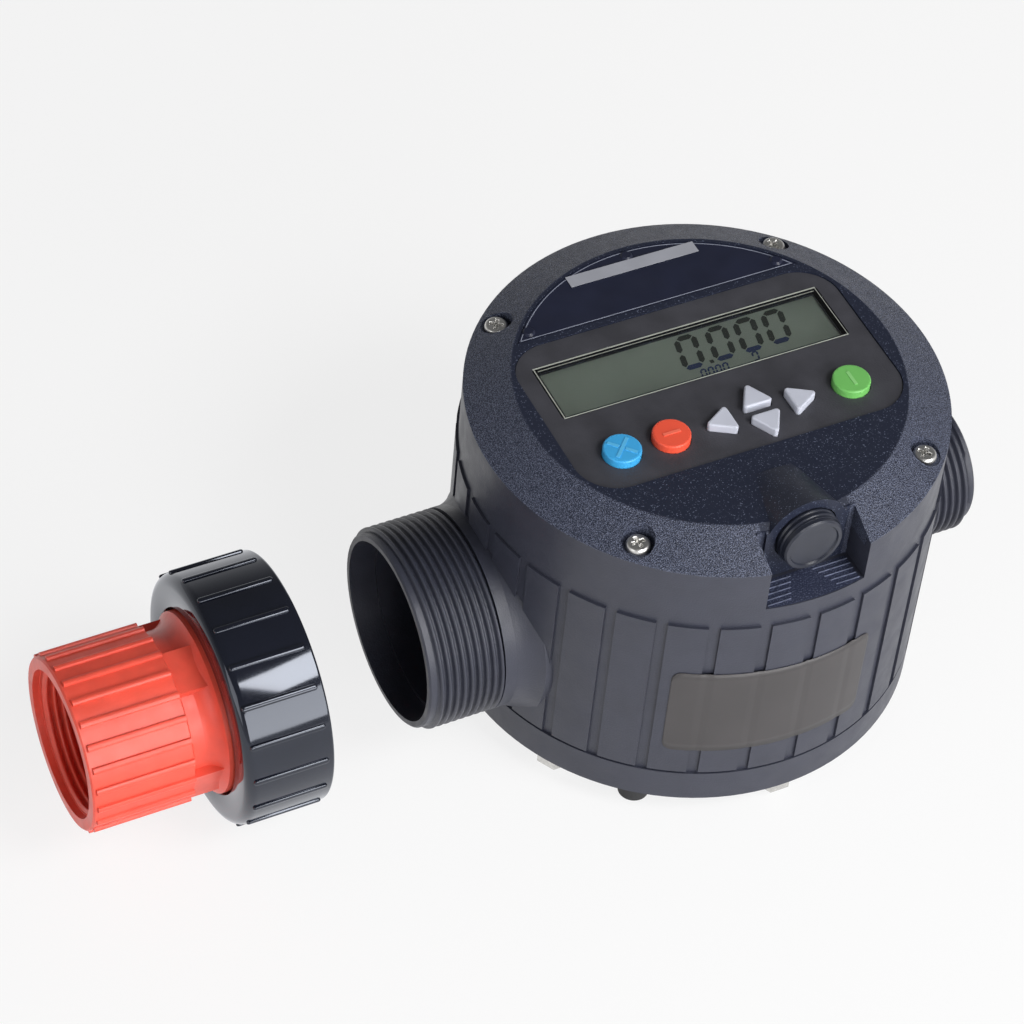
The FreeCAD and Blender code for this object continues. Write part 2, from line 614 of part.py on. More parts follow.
def make_bridge():
    body = make_body("chamber_lid")
    magnet_cup = S.magnet_radius + S.magnet_cup_gap
    profile = plane_sketch(body, "XZ_Plane", "lid_profile")
    outline(profile, [
        (S.bearing_radius, upper_bearing_level), (S.bush_radius, upper_bearing_level),
        (S.bush_radius, bridge_under), (S.bridge_radius, bridge_under),
        (S.bridge_radius, deck_under), (magnet_cup, deck_under),
        (magnet_cup, magnet_floor), (S.bearing_radius, magnet_floor)])
    revolve(body, profile, "lid_and_bush")


def make_bearing(label, bottom, length):
    solid = cylinder(label + "_bush", S.bearing_radius, length, z=bottom)
    bore = cylinder(label + "_bore", S.shaft_radius + S.running_clearance, length, z=bottom)
    keep(cut(label, solid, bore), label)


def make_rotor():
    body = make_body("turbine_rotor")
    bore = S.shaft_radius
    nose = S.rotor_nose
    profile = plane_sketch(body, "XZ_Plane", "hub_profile")
    outline(profile, [
        (bore, rotor_bottom), (S.rotor_hub_radius - nose, rotor_bottom),
        (S.rotor_hub_radius, rotor_bottom + nose, nose), (S.rotor_hub_radius, rotor_top - nose),
        (S.rotor_hub_radius - nose, rotor_top, nose), (bore, rotor_top)])
    revolve(body, profile, "hub")
    tip = S.chamber_bore - S.rotor_tip_gap
    half = S.blade_thickness / 2
    sections = []
    for number, share in enumerate((0.0, 0.5, 1.0)):
        level = rotor_bottom + S.blade_inset + (S.rotor_height - S.blade_inset * 2) * share
        sketch = plane_sketch(body, "XY_Plane", "blade_section_%d" % number, (0, 0, level),
                              S.blade_twist * share)
        rectangle(sketch, S.rotor_hub_radius - S.blade_root, tip, -half, half)
        sections.append(sketch)
    blade = body.newObject("PartDesign::AdditiveLoft", "blade")
    blade.Profile = sections[0]
    blade.Sections = sections[1:]
    blade.Ruled = True
    polar(body, blade, "blades", S.blade_count)

    bottom = bearing_level + S.shaft_end_gap
    keep(cylinder("rotor_shaft", S.shaft_radius, magnet_level - bottom + S.magnet_height,
                  z=bottom), "rotor_shaft")
    solid = cylinder("magnet_disc", S.magnet_radius, S.magnet_height, z=magnet_level)
    hole = cylinder("magnet_hole", S.shaft_radius, S.magnet_height, z=magnet_level)
    keep(cut("rotor_magnet", solid, hole), "rotor_magnet")


def make_insert():
    make_flow_guide()
    make_chamber()
    make_bridge()
    make_bearing("lower_bearing", bearing_level, S.bearing_length)
    make_bearing("upper_bearing", upper_bearing_level, magnet_floor - upper_bearing_level)
    make_rotor()


# ---------------------------------------------------------------- electronics on the deck


def make_electronics():
    keep(cylinder("pickup_sensor", S.sensor_radius, S.sensor_height, z=deck_top - S.sensor_sink),
         "pickup_sensor")
    wall = S.holder_wall
    radius = S.battery_radius
    length = S.battery_length + wall * 2
    tray = box("holder_tray", length, (radius + wall) * 2, radius + wall,
               -length / 2, S.battery_offset - radius - wall, deck_top)
    gap = S.battery_clearance
    cell_axis = deck_top + wall + radius + gap
    trough = cylinder("holder_trough", radius + gap, S.battery_length + gap * 2,
                      -S.battery_length / 2 - gap, S.battery_offset, cell_axis, "X")
    keep(cut("battery_holder", tray, trough), "battery_holder")
    keep(cylinder("battery", radius, S.battery_length, -S.battery_length / 2,
                  S.battery_offset, cell_axis, "X"), "battery")


# ---------------------------------------------------------------- keypad layout

ROUND_KEYS = {
    "button_reset": (-S.reset_x, -S.button_row),
    "button_stop": (-S.stop_x, -S.button_row),
    "button_start": (S.start_x, -S.button_row),
}
ARROW_KEYS = {
    "key_left": (S.arrow_x - S.arrow_side_step, -S.arrow_y, 180),
    "key_up": (S.arrow_x, -S.arrow_y + S.arrow_row_step, 90),
    "key_down": (S.arrow_x, -S.arrow_y - S.arrow_row_step, 270),
    "key_right": (S.arrow_x + S.arrow_side_step, -S.arrow_y, 0),
}
panel_floor = disc_top - S.panel_recess
panel_top = panel_floor + S.panel_thickness
key_flange_under = plate_under - S.flange_thickness
mat_top = key_flange_under - S.key_travel - S.key_gap
board_top = mat_top - S.mat_thickness
board_under = board_top - S.board_thickness
pane_under = panel_floor - S.pane_sink
pin_front = plate_front + S.pin_front_inset
pin_side = half_chord(plate_radius - S.pin_edge, pin_front)
PIN_SPOTS = ((0, plate_radius - S.pin_back_inset), (pin_side, pin_front), (-pin_side, pin_front))


def key_outlines(sketch, clearance):
    """The outlines of all seven keys, each grown by a clearance."""
    for x, y in ROUND_KEYS.values():
        circle(sketch, x, y, S.button_radius + clearance)
    for x, y, heading in ARROW_KEYS.values():
        triangle(sketch, x, y, heading, S.arrow_inradius + clearance, S.arrow_corner)


# ---------------------------------------------------------------- display cover


HOOD_ARC_START = 0.02  # the hood's round front starts this share of its radius above its axis


def make_display_cover():
    body = make_body("display_cover")
    profile = plane_sketch(body, "XZ_Plane", "cover_profile")
    plug_radius = rebate_radius - S.rebate_clearance
    outline(profile, [
        (0, disc_top), (0, plate_under), (cavity_radius, plate_under),
        (cavity_radius, rebate_floor), (plug_radius, rebate_floor),
        (plug_radius, drum_top), (S.skirt_radius, drum_top),
        (S.skirt_radius, drum_top + S.rim_flat), (disc_radius, disc_top)])
    revolve(body, profile, "cone_and_plate")

    back = plane_sketch(body, "XZ_Plane", "hood_back", (0, socket_axis, hood_start))
    front = plane_sketch(body, "XZ_Plane", "hood_front", (0, socket_axis, hood_reach))
    floor = -S.hood_skirt
    rise = disc_top - socket_axis + S.hood_back_rise
    half = S.hood_back_half_width
    crown_rise = S.hood_back_crown
    side = rise - crown_rise
    crown = (half * half + crown_rise * crown_rise) / (crown_rise * 2)
    outline(back, [(-half, floor), (half, floor), (half, side), (-half, side, crown)])
    radius = S.hood_radius
    low = radius * HOOD_ARC_START
    outline(front, [(-half_chord(radius, low), floor), (half_chord(radius, low), floor),
                    (half_chord(radius, low), low), (-half_chord(radius, low), low, radius)])
    hood = body.newObject("PartDesign::AdditiveLoft", "hood")
    hood.Profile = back
    hood.Sections = [front]
    hood.Ruled = True

    block = plane_sketch(body, "XY_Plane", "block_outline", (0, 0, notch_floor))
    width = S.notch_half_width
    rectangle(block, -width, width, -notch_back, -(notch_back - S.block_depth))
    extrude(body, block, "connector_block", disc_top - S.block_sink - notch_floor)
    posts = plane_sketch(body, "XY_Plane", "post_circles", (0, 0, board_top))
    post_y = board_radius - S.post_inset
    for x in (-S.post_x, S.post_x):
        for y in (-post_y, post_y):
            circle(posts, x, y, S.post_radius)
    extrude(body, posts, "board_posts", plate_under - board_top + S.post_sink)

    low = rebate_floor - S.overrun
    height = socket_axis + S.hood_radius + S.overrun - low
    front = hood_reach + S.overrun
    notch = plane_sketch(body, "XY_Plane", "notch_outline", (0, 0, low))
    rectangle(notch, -width, width, -pad_radius - S.overrun, -hood_reach)
    extrude(body, notch, "notch", height, cut=True, reverse=True)
    sides = plane_sketch(body, "XY_Plane", "notch_side_outline", (0, 0, low))
    inner = S.hood_radius + S.hood_side_gap
    outline(sides, [(-width, -front), (-inner, -front), (-inner, -notch_back), (-width, -notch_back)])
    outline(sides, [(inner, -front), (width, -front), (width, -notch_back), (inner, -notch_back)])
    extrude(body, sides, "notch_sides", height, cut=True, reverse=True)
    bore = plane_sketch(body, "XZ_Plane", "socket_mouth_circle", (0, socket_axis, front))
    circle(bore, 0, 0, S.socket_flange_radius + S.socket_clearance)
    extrude(body, bore, "socket_mouth", front - socket_shoulder, cut=True)
    bore = plane_sketch(body, "XZ_Plane", "socket_bore_circle", (0, socket_axis, socket_shoulder))
    circle(bore, 0, 0, S.socket_radius + S.socket_clearance)
    extrude(body, bore, "socket_bore", S.socket_length, cut=True)

    pockets = plane_sketch(body, "XY_Plane", "screw_pocket_circles", (0, 0, drum_top + S.screw_seat))
    holes = plane_sketch(body, "XY_Plane", "screw_hole_circles", (0, 0, rebate_floor))
    for direction in screw_directions:
        x, y = turned(screw_circle, direction)
        circle(pockets, x, y, S.screw_pocket_radius)
        circle(holes, x, y, S.screw_radius + S.screw_clearance)
    extrude(body, pockets, "screw_pockets", S.disc_rise, cut=True, reverse=True)
    extrude(body, holes, "screw_holes", S.rebate_depth + S.disc_rise, cut=True, reverse=True)

    recess = plane_sketch(body, "XY_Plane", "panel_recess_outline", (0, 0, panel_floor))
    rounded_rectangle(recess, -panel_half_width, panel_half_width,
                      -S.panel_front, S.panel_back, S.panel_corner)
    extrude(body, recess, "panel_recess", S.panel_recess + S.overrun, cut=True, reverse=True)
    recess = plane_sketch(body, "XY_Plane", "name_plate_outline",
                          (0, 0, disc_top - S.plate_thickness - S.plate_sink))
    half = half_chord(plate_radius, plate_front)
    outline(recess, [(half, plate_front), (-half, plate_front, plate_radius)])
    extrude(body, recess, "name_plate_recess", S.plate_thickness + S.overrun, cut=True,
            reverse=True)
    ledge = plane_sketch(body, "XY_Plane", "pane_ledge_outline", (0, 0, pane_under))
    rounded_rectangle(ledge, -pane_half_width, pane_half_width,
                      S.pane_front, S.pane_back, S.pane_corner)
    extrude(body, ledge, "pane_ledge", S.pane_sink + S.overrun, cut=True, reverse=True)
    view = plane_sketch(body, "XY_Plane", "view_outline", (0, 0, plate_under - S.overrun))
    edge = S.pane_ledge
    rectangle(view, -pane_half_width + edge, pane_half_width - edge,
              S.pane_front + edge, S.pane_back - edge)
    extrude(body, view, "view_opening", S.cover_plate, cut=True, reverse=True)
    keys = plane_sketch(body, "XY_Plane", "key_outlines", (0, 0, plate_under - S.overrun))
    key_outlines(keys, S.button_clearance)
    extrude(body, keys, "key_openings", S.cover_plate + S.overrun, cut=True, reverse=True)
    pins = plane_sketch(body, "XY_Plane", "pin_circles", (0, 0, disc_top - S.pin_depth))
    for x, y in PIN_SPOTS:
        circle(pins, x, y, S.pin_radius)
    extrude(body, pins, "pin_holes", S.pin_depth, cut=True, reverse=True)


def make_display_trim():
    body = make_body("display_panel")
    sketch = plane_sketch(body, "XY_Plane", "panel_outline", (0, 0, panel_floor))
    gap = S.panel_clearance
    rounded_rectangle(sketch, -panel_half_width + gap, panel_half_width - gap,
                      -S.panel_front + gap, S.panel_back - gap, S.panel_corner - gap)
    extrude(body, sketch, "membrane", S.panel_thickness)
    sketch = plane_sketch(body, "XY_Plane", "pane_opening_outline", (0, 0, panel_top))
    rounded_rectangle(sketch, -pane_half_width, pane_half_width,
                      S.pane_front, S.pane_back, S.pane_corner)
    extrude(body, sketch, "pane_opening", S.panel_thickness, cut=True)
    sketch = plane_sketch(body, "XY_Plane", "key_outlines", (0, 0, panel_top))
    key_outlines(sketch, S.button_clearance)
    extrude(body, sketch, "key_openings", S.panel_thickness, cut=True)

    body = make_body("display_window")
    sketch = plane_sketch(body, "XY_Plane", "pane_outline", (0, 0, pane_under))
    gap = S.pane_clearance
    rounded_rectangle(sketch, -pane_half_width + gap, pane_half_width - gap,
                      S.pane_front + gap, S.pane_back - gap, S.pane_corner - gap)
    extrude(body, sketch, "pane", S.pane_sink + S.panel_thickness)

    body = make_body("name_plate")
    level = disc_top - S.plate_sink - S.plate_thickness
    radius = plate_radius - S.panel_clearance
    front = plate_front + S.panel_clearance
    sketch = plane_sketch(body, "XY_Plane", "plate_outline", (0, 0, level))
    half = half_chord(radius, front)
    outline(sketch, [(half, front), (-half, front, radius)])
    extrude(body, sketch, "plate", S.plate_thickness)
    sketch = plane_sketch(body, "XY_Plane", "pin_circles", (0, 0, level))
    for x, y in PIN_SPOTS:
        circle(sketch, x, y, S.pin_radius)
    extrude(body, sketch, "pin_holes", S.plate_thickness, cut=True, reverse=True)

    parts = []
    for number, (x, y) in enumerate(PIN_SPOTS):
        bottom = disc_top - S.pin_depth
        head_level = disc_top - S.plate_sink
        parts.append(cylinder("pin_shank_%d" % number, S.pin_radius, head_level - bottom, x, y, bottom))
        head = doc.addObject("Part::Cone", "pin_head_%d" % number)
        bind(head, "Radius1", S.pin_head_radius)
        bind(head, "Radius2", S.pin_radius)
        bind(head, "Height", S.pin_head_height)
        parts.append(place(head, x, y, head_level))
    keep(fuse("name_plate_pins", parts), "name_plate_pins")


def make_keys():
    cap_top = panel_top + S.button_proud
    for label, (x, y) in ROUND_KEYS.items():
        body = make_body(label)
        sketch = plane_sketch(body, "XY_Plane", "cap_circle", (0, 0, key_flange_under))
        circle(sketch, x, y, S.button_radius)
        extrude(body, sketch, "cap", cap_top - key_flange_under)
        sketch = plane_sketch(body, "XY_Plane", "flange_circle", (0, 0, key_flange_under))
        circle(sketch, x, y, S.button_radius + S.flange_overlap)
        extrude(body, sketch, "flange", S.flange_thickness)
    for label, (x, y, heading) in ARROW_KEYS.items():
        body = make_body(label)
        sketch = plane_sketch(body, "XY_Plane", "cap_outline", (0, 0, key_flange_under))
        triangle(sketch, x, y, heading, S.arrow_inradius, S.arrow_corner)
        extrude(body, sketch, "cap", cap_top - key_flange_under)
        sketch = plane_sketch(body, "XY_Plane", "flange_outline", (0, 0, key_flange_under))
        triangle(sketch, x, y, heading, S.arrow_inradius + S.arrow_flange, S.arrow_corner)
        extrude(body, sketch, "flange", S.flange_thickness)


def make_display_inside():
    board = cylinder("board_disc", board_radius, S.board_thickness, z=board_under)
    half = S.hood_radius + S.board_gap
    depth = board_radius - hood_start + S.board_gap
    keep(cut("circuit_board", board, box("board_notch", half * 2, depth, S.board_thickness, -half,
                                         -board_radius, board_under)), "circuit_board")
    half = panel_half_width - S.mat_margin
    front = S.panel_front - S.mat_inset
    keep(box("keypad_mat", half * 2, front - S.mat_back, S.mat_thickness, -half, -front,
             board_top), "keypad_mat")
    margin = S.lcd_margin
    half = pane_half_width - S.lcd_side_gap
    keep(box("lcd_module", half * 2, S.pane_back - S.pane_front + margin * 2,
             plate_under - S.lcd_gap - board_top, -half, S.pane_front - margin,
             board_top), "lcd_module")
    parts = []
    seat = drum_top + S.screw_seat
    for number, direction in enumerate(screw_directions):
        x, y = turned(screw_circle, direction)
        shank = S.screw_seat + S.rebate_depth + S.screw_depth
        parts.append(cylinder("screw_shank_%d" % number, S.screw_radius, shank, x, y, seat - shank))
        head = doc.addObject("Part::Cone", "screw_head_%d" % number)
        bind(head, "Radius1", S.screw_head_radius)
        bind(head, "Radius2", S.screw_head_radius - S.screw_head_taper)
        bind(head, "Height", S.screw_head_height)
        parts.append(place(head, x, y, seat))
    keep(fuse("cover_screws", parts), "cover_screws")


# ---------------------------------------------------------------- connector


def make_connector():
    front = -socket_front
    shoulder = -socket_shoulder
    back = shoulder + S.socket_length
    hollow = S.socket_radius - S.socket_wall
    floor = back - S.socket_wall
    body = make_body("connector_socket")
    sketch = plane_sketch(body, "YZ_Plane", "socket_profile", (0, socket_axis, 0))
    outline(sketch, [
        (floor, 0), (floor, hollow), (front, hollow), (front, S.socket_flange_radius),
        (shoulder, S.socket_flange_radius), (shoulder, S.socket_radius),
        (back, S.socket_radius), (back, 0)])
    revolve(body, sketch, "shell", "H_Axis")

    parts = []
    for number in range(int(S.contact_count.value)):
        x, z = turned(S.contact_circle, 90 + number * 360 / S.contact_count.value)
        parts.append(cylinder("contact_%d" % number, S.contact_radius, S.contact_length,
                              x, floor, socket_axis + z, "-Y"))
    keep(fuse("connector_contacts", parts), "connector_contacts")

    body = make_body("connector_plug")
    sketch = plane_sketch(body, "YZ_Plane", "plug_profile", (0, socket_axis, 0))
    spigot = hollow - S.plug_clearance
    face = front - S.plug_head_depth
    end = front + S.plug_spigot_length
    rim = S.plug_head_radius - S.plug_lip
    web = front + S.plug_web
    outline(sketch, [
        (face + S.plug_dish, 0), (face + S.plug_dish, rim - S.plug_dish_slope), (face, rim),
        (face, S.plug_head_radius - S.plug_chamfer), (face + S.plug_chamfer, S.plug_head_radius),
        (front, S.plug_head_radius), (front, spigot), (end, spigot),
        (end, spigot - S.plug_wall), (web, spigot - S.plug_wall), (web, 0)])
    revolve(body, sketch, "cap", "H_Axis")


# ---------------------------------------------------------------- union nut and adapter

nut_outer = S.nut_radius
union_axis = bench + nut_outer
nut_body = nut_outer - S.nut_rib_proud
nut_right = inlet_reach + S.union_gap
nut_left = nut_right + S.nut_length
nut_hole = S.adapter_flare_radius + S.nut_hole_gap
nut_flange_inner = nut_left - S.nut_flange
collar_left = nut_flange_inner - S.collar_gap
collar_right = collar_left - S.collar_thickness
adapter_left = nut_left + S.adapter_reach


def centred_body(label):
    """A body whose own X axis is the union's, parallel to the ports with the nut on the bench."""
    body = make_body(label)
    return place(body, z=union_axis)


def make_union():
    body = centred_body("union_nut")
    sketch = plane_sketch(body, "XZ_Plane", "nut_profile")
    bore = S.inlet_thread_radius + S.nut_bore_gap
    edge = S.nut_edge
    soft = S.nut_round
    outline(sketch, [
        (-nut_left, nut_hole), (-nut_left, nut_body - soft),
        (-nut_left + soft, nut_body, -soft), (-nut_right - edge, nut_body),
        (-nut_right, nut_body - edge), (-nut_right, bore), (-nut_flange_inner, bore),
        (-nut_flange_inner, nut_hole)])
    revolve(body, sketch, "nut_shell", "H_Axis")
    sketch = plane_sketch(body, "YZ_Plane", "rib_outline", (0, 0, -nut_left + S.nut_rib_margin),
                          S.nut_rib_phase)
    half = S.nut_rib_width / 2
    rectangle(sketch, nut_body - S.nut_rib_root, nut_outer, -half, half)
    rib = extrude(body, sketch, "rib", S.nut_length - S.nut_rib_margin * 2)
    polar(body, rib, "ribs", S.nut_rib_count, "X_Axis")

    body = centred_body("adapter")
    sketch = plane_sketch(body, "XZ_Plane", "adapter_profile")
    grip_end = adapter_left - S.adapter_grip
    flare_end = nut_left + S.adapter_flare_gap
    flare_start = flare_end + S.adapter_flare_run
    bore_step = adapter_left - S.adapter_thread_run
    outline(sketch, [
        (-adapter_left, S.adapter_mouth_radius),
        (-adapter_left, S.adapter_radius - S.adapter_chamfer),
        (-adapter_left + S.adapter_chamfer, S.adapter_radius), (-grip_end, S.adapter_radius),
        (-grip_end + S.adapter_grip_slope, S.adapter_neck_radius),
        (-flare_start, S.adapter_neck_radius),
        (-flare_end, S.adapter_flare_radius, S.adapter_flare_arc),
        (-collar_left, S.adapter_flare_radius), (-collar_left, S.collar_radius),
        (-collar_right, S.collar_radius), (-collar_right, S.adapter_bore_radius),
        (-bore_step + S.adapter_bore_slope, S.adapter_bore_radius),
        (-bore_step, S.adapter_thread_radius),
        (-adapter_left + S.adapter_mouth_depth, S.adapter_thread_radius),
        (-adapter_left + S.adapter_mouth_depth, S.adapter_mouth_radius)])
    revolve(body, sketch, "adapter_shell", "H_Axis")
    margin = S.adapter_rib_margin
    sketch = plane_sketch(body, "YZ_Plane", "rib_outline", (0, 0, -adapter_left + margin))
    half = S.adapter_rib_width / 2
    outer = S.adapter_radius + S.adapter_rib_proud
    rectangle(sketch, S.adapter_radius - S.adapter_rib_root, outer, -half, half)
    rib = extrude(body, sketch, "rib", S.adapter_grip - margin)
    polar(body, rib, "ribs", S.adapter_rib_count, "X_Axis")
    sketch = plane_sketch(body, "YZ_Plane", "lug_outline", (0, 0, -grip_end), S.adapter_lug_phase)
    half = S.adapter_lug_width / 2
    reach = half_chord(S.adapter_radius, half)
    rectangle(sketch, S.adapter_neck_radius - S.adapter_lug_root, reach, -half, half)
    lug = extrude(body, sketch, "lug", grip_end - flare_end)
    polar(body, lug, "lugs", S.adapter_lug_count, "X_Axis")

    solid = cylinder("gasket_disc", S.collar_radius - S.gasket_margin, S.gasket_thickness,
                     -collar_right, 0.0, union_axis, "X")
    hole = cylinder("gasket_hole", S.adapter_bore_radius + S.gasket_step, S.gasket_thickness,
                    -collar_right, 0.0, union_axis, "X")
    keep(cut("adapter_gasket", solid, hole), "adapter_gasket")


# ---------------------------------------------------------------- build and export

make_housing()
make_base()
make_insert()
make_electronics()
make_display_cover()
make_display_trim()
make_keys()
make_display_inside()
make_connector()
make_union()
doc.recompute()

broken = [item.Name for item in doc.Objects if {"Invalid", "Error"} & set(item.State)]
if broken:
    raise RuntimeError("features that failed: " + ", ".join(broken))
for node in nodes:
    if node.Shape.isNull() or not node.Shape.isValid() or not node.Shape.Solids:
        raise RuntimeError("no valid solid in " + node.Label)

os.makedirs("parts", exist_ok=True)
for node in nodes:
    node.Shape.exportStep("parts/%s.step" % node.Label)
    print("%-20s %d solid(s), %10.1f mm3" % (node.Label, len(node.Shape.Solids), node.Shape.Volume))
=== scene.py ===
import math
import bpy
from mathutils import Matrix, Vector


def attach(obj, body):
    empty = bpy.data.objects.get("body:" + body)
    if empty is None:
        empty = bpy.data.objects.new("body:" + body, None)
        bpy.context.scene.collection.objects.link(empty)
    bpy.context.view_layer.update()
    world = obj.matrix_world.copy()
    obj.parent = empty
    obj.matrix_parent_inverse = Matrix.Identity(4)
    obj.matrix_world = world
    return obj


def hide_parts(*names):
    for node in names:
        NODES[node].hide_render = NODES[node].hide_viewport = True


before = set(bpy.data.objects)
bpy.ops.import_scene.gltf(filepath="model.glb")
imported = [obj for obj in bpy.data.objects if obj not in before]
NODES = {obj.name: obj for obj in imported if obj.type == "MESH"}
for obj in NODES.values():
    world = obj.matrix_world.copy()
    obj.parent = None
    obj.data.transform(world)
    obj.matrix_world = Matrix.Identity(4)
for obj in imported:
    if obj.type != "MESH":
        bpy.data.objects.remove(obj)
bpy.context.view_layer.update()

# The looks of the meter: paints for the frame's nodes, and the threads, rounded edges, marks and
# films that the solids leave out. Sizes are in millimetres and angles in degrees, in the frame's
# axes, unless a comment says otherwise. The ports lie along x and the front is towards -y.

MM = 0.001                    # metres in a millimetre
PITCH = 25.4 / 11             # of the pipe threads, 11 turns to the inch
PORT = 34.4                   # height of the axis of both ports
UNION = 30.0                  # height of the axis of the nut and adapter, which lie on the bench
BENCH = -7.2                  # height of the bench, under the feet
SEATED = 46.6                 # how far the nut and adapter travel along x to the inlet


def put(tree, kind, inputs=None, **settings):
    """Adds a shader node. An input takes a number or a colour as its value, or a socket's link."""
    made = tree.nodes.new(kind)
    for key, value in settings.items():
        setattr(made, key, value)
    for key, value in (inputs or {}).items():
        if isinstance(value, bpy.types.NodeSocket):
            tree.links.new(value, made.inputs[key])
        else:
            made.inputs[key].default_value = value
    return made


def maths(tree, operation, a, b=0.0):
    return put(tree, "ShaderNodeMath", {0: a, 1: b}, operation=operation).outputs[0]


def link_object(made):
    bpy.context.scene.collection.objects.link(made)
    return made


# ---------------------------------------------------------------- materials
COLOUR_NOISE = (0.35, 0.65)   # the range of a noise that goes from one tone to the other
ROUGH_NOISE = (0.3, 0.7)      # the same for roughness
SMOOTHEST = 0.02              # least roughness


class Paint:
    """A Principled material, varied by noise in object coordinates.

    The scale of a noise is per metre.
    """

    def __init__(self, name, colour, rough, metallic=0.0, **sockets):
        self.mat = bpy.data.materials.new(name)
        self.mat.use_nodes = True
        self.tree = self.mat.node_tree
        self.shader = self.tree.nodes["Principled BSDF"]
        self.shader.inputs["Base Color"].default_value = (*colour, 1)
        self.shader.inputs["Roughness"].default_value = rough
        self.shader.inputs["Metallic"].default_value = metallic
        for key, value in sockets.items():
            self.shader.inputs[key.replace("_", " ")].default_value = value
        self.coords = put(self.tree, "ShaderNodeTexCoord").outputs["Object"]
        self.normal = None
        self.colour = colour
        self.rough = rough

    def link(self, value, socket):
        self.tree.links.new(value, self.shader.inputs[socket])
        return self

    def noise(self, scale, detail=3.0, stretch=None):
        source = self.coords
        if stretch:
            source = put(self.tree, "ShaderNodeMapping",
                         {"Vector": source, "Scale": stretch}).outputs["Vector"]
        return put(self.tree, "ShaderNodeTexNoise",
                   {"Vector": source, "Scale": scale, "Detail": detail}).outputs["Fac"]

    def ramp(self, value, low, high, a=0.0, b=1.0):
        """Goes from a to b while the value goes from low to high, and no further."""
        limits = {"Value": value, "From Min": low, "From Max": high, "To Min": a, "To Max": b}
        return put(self.tree, "ShaderNodeMapRange", limits).outputs["Result"]

    def mix(self, share, a, b):
        """Blends two colours, each of them a tone or a socket."""
        a, b = ((*tone, 1) if isinstance(tone, tuple) else tone for tone in (a, b))
        return put(self.tree, "ShaderNodeMix", {0: share, 6: a, 7: b}, data_type="RGBA").outputs[2]

    def position(self):
        return put(self.tree, "ShaderNodeSeparateXYZ", {0: self.coords}).outputs

    def mottle(self, scale, amount):
        """Varies the colour by this share, up and down."""
        dark = tuple(c * (1 - amount) for c in self.colour)
        light = tuple(min(1.0, c * (1 + amount)) for c in self.colour)
        share = self.ramp(self.noise(scale), *COLOUR_NOISE)
        return self.link(self.mix(share, dark, light), "Base Color")

    def speckled(self, scale, speck, low, high, detail=1.0, ground=None):
        """The colour with specks of another, where the noise is above low."""
        share = self.ramp(self.noise(scale, detail), low, high)
        return self.mix(share, ground or self.colour, speck)

    def uneven(self, scale, spread, stretch=None):
        """Varies the roughness by this much, up and down."""
        low, high = max(SMOOTHEST, self.rough - spread), self.rough + spread
        value = self.ramp(self.noise(scale, 4.0, stretch), *ROUGH_NOISE, low, high)
        return self.link(value, "Roughness")

    def bump(self, scale, depth_mm, strength=1.0, stretch=None):
        """Adds an even grain."""
        return self.relief(self.noise(scale, 2.0, stretch), depth_mm, strength)

    def relief(self, height, depth_mm, strength=1.0):
        """Adds a grain from a height of 0 to 1, on top of those that are there."""
        made = put(self.tree, "ShaderNodeBump",
                   {"Strength": strength, "Distance": depth_mm * MM, "Height": height})
        if self.normal:
            self.tree.links.new(self.normal, made.inputs["Normal"])
        self.normal = made.outputs["Normal"]
        return self.link(self.normal, "Normal")


def srgb(r, g, b):
    """The linear colour of an sRGB one of 0 to 255."""
    return tuple(((c / 255 + 0.055) / 1.055) ** 2.4 if c > 10 else c / 3294 for c in (r, g, b))


def plastic(name, colour, rough, grain, depth, mottle=0.10, **sockets):
    """A moulded plastic, with a grain of this scale and of this depth in millimetres."""
    paint = Paint(name, srgb(*colour), rough, **sockets)
    paint.mottle(90, mottle).uneven(160, 0.06)
    return paint.bump(grain, depth, 0.6)


# where the cover's paint changes, in metres: the radius at which its sloped ring begins, the
# side of the hood over the connector, and the line along y in front of which the hood lies
COVER_RING = (0.0551, 0.0556)
HOOD_SIDE = (0.0134, 0.0139)
HOOD_BACK = (-0.001, 0.001)


def cover_paint():
    """Navy with fine specks on the disc and hood, and with a coarse grey grain on the ring."""
    paint = Paint("cover_navy", srgb(31, 36, 53), 0.42, Specular_IOR_Level=0.4)
    x, y = paint.position()[:2]
    flat = put(paint.tree, "ShaderNodeCombineXYZ", {0: x, 1: y}).outputs[0]
    radius = put(paint.tree, "ShaderNodeVectorMath", {0: flat}, operation="LENGTH")
    beside_hood = paint.ramp(maths(paint.tree, "ABSOLUTE", x), *HOOD_SIDE)
    off_hood = maths(paint.tree, "MAXIMUM", beside_hood, paint.ramp(y, *HOOD_BACK))
    beyond = paint.ramp(radius.outputs["Value"], *COVER_RING)
    on_ring = maths(paint.tree, "MULTIPLY", beyond, off_hood)
    disc = paint.speckled(2400, srgb(104, 111, 132), 0.66, 0.72)
    ring = paint.speckled(3900, srgb(104, 110, 130), 0.42, 0.70, 0.5, srgb(32, 36, 52))
    paint.link(paint.mix(on_ring, disc, ring), "Base Color")
    paint.uneven(300, 0.05)
    depth = paint.ramp(on_ring, 0.0, 1.0, 0.16, 1.0)
    grain = maths(paint.tree, "MULTIPLY", paint.noise(2600, 1.0), depth)
    return paint.relief(grain, 0.26)


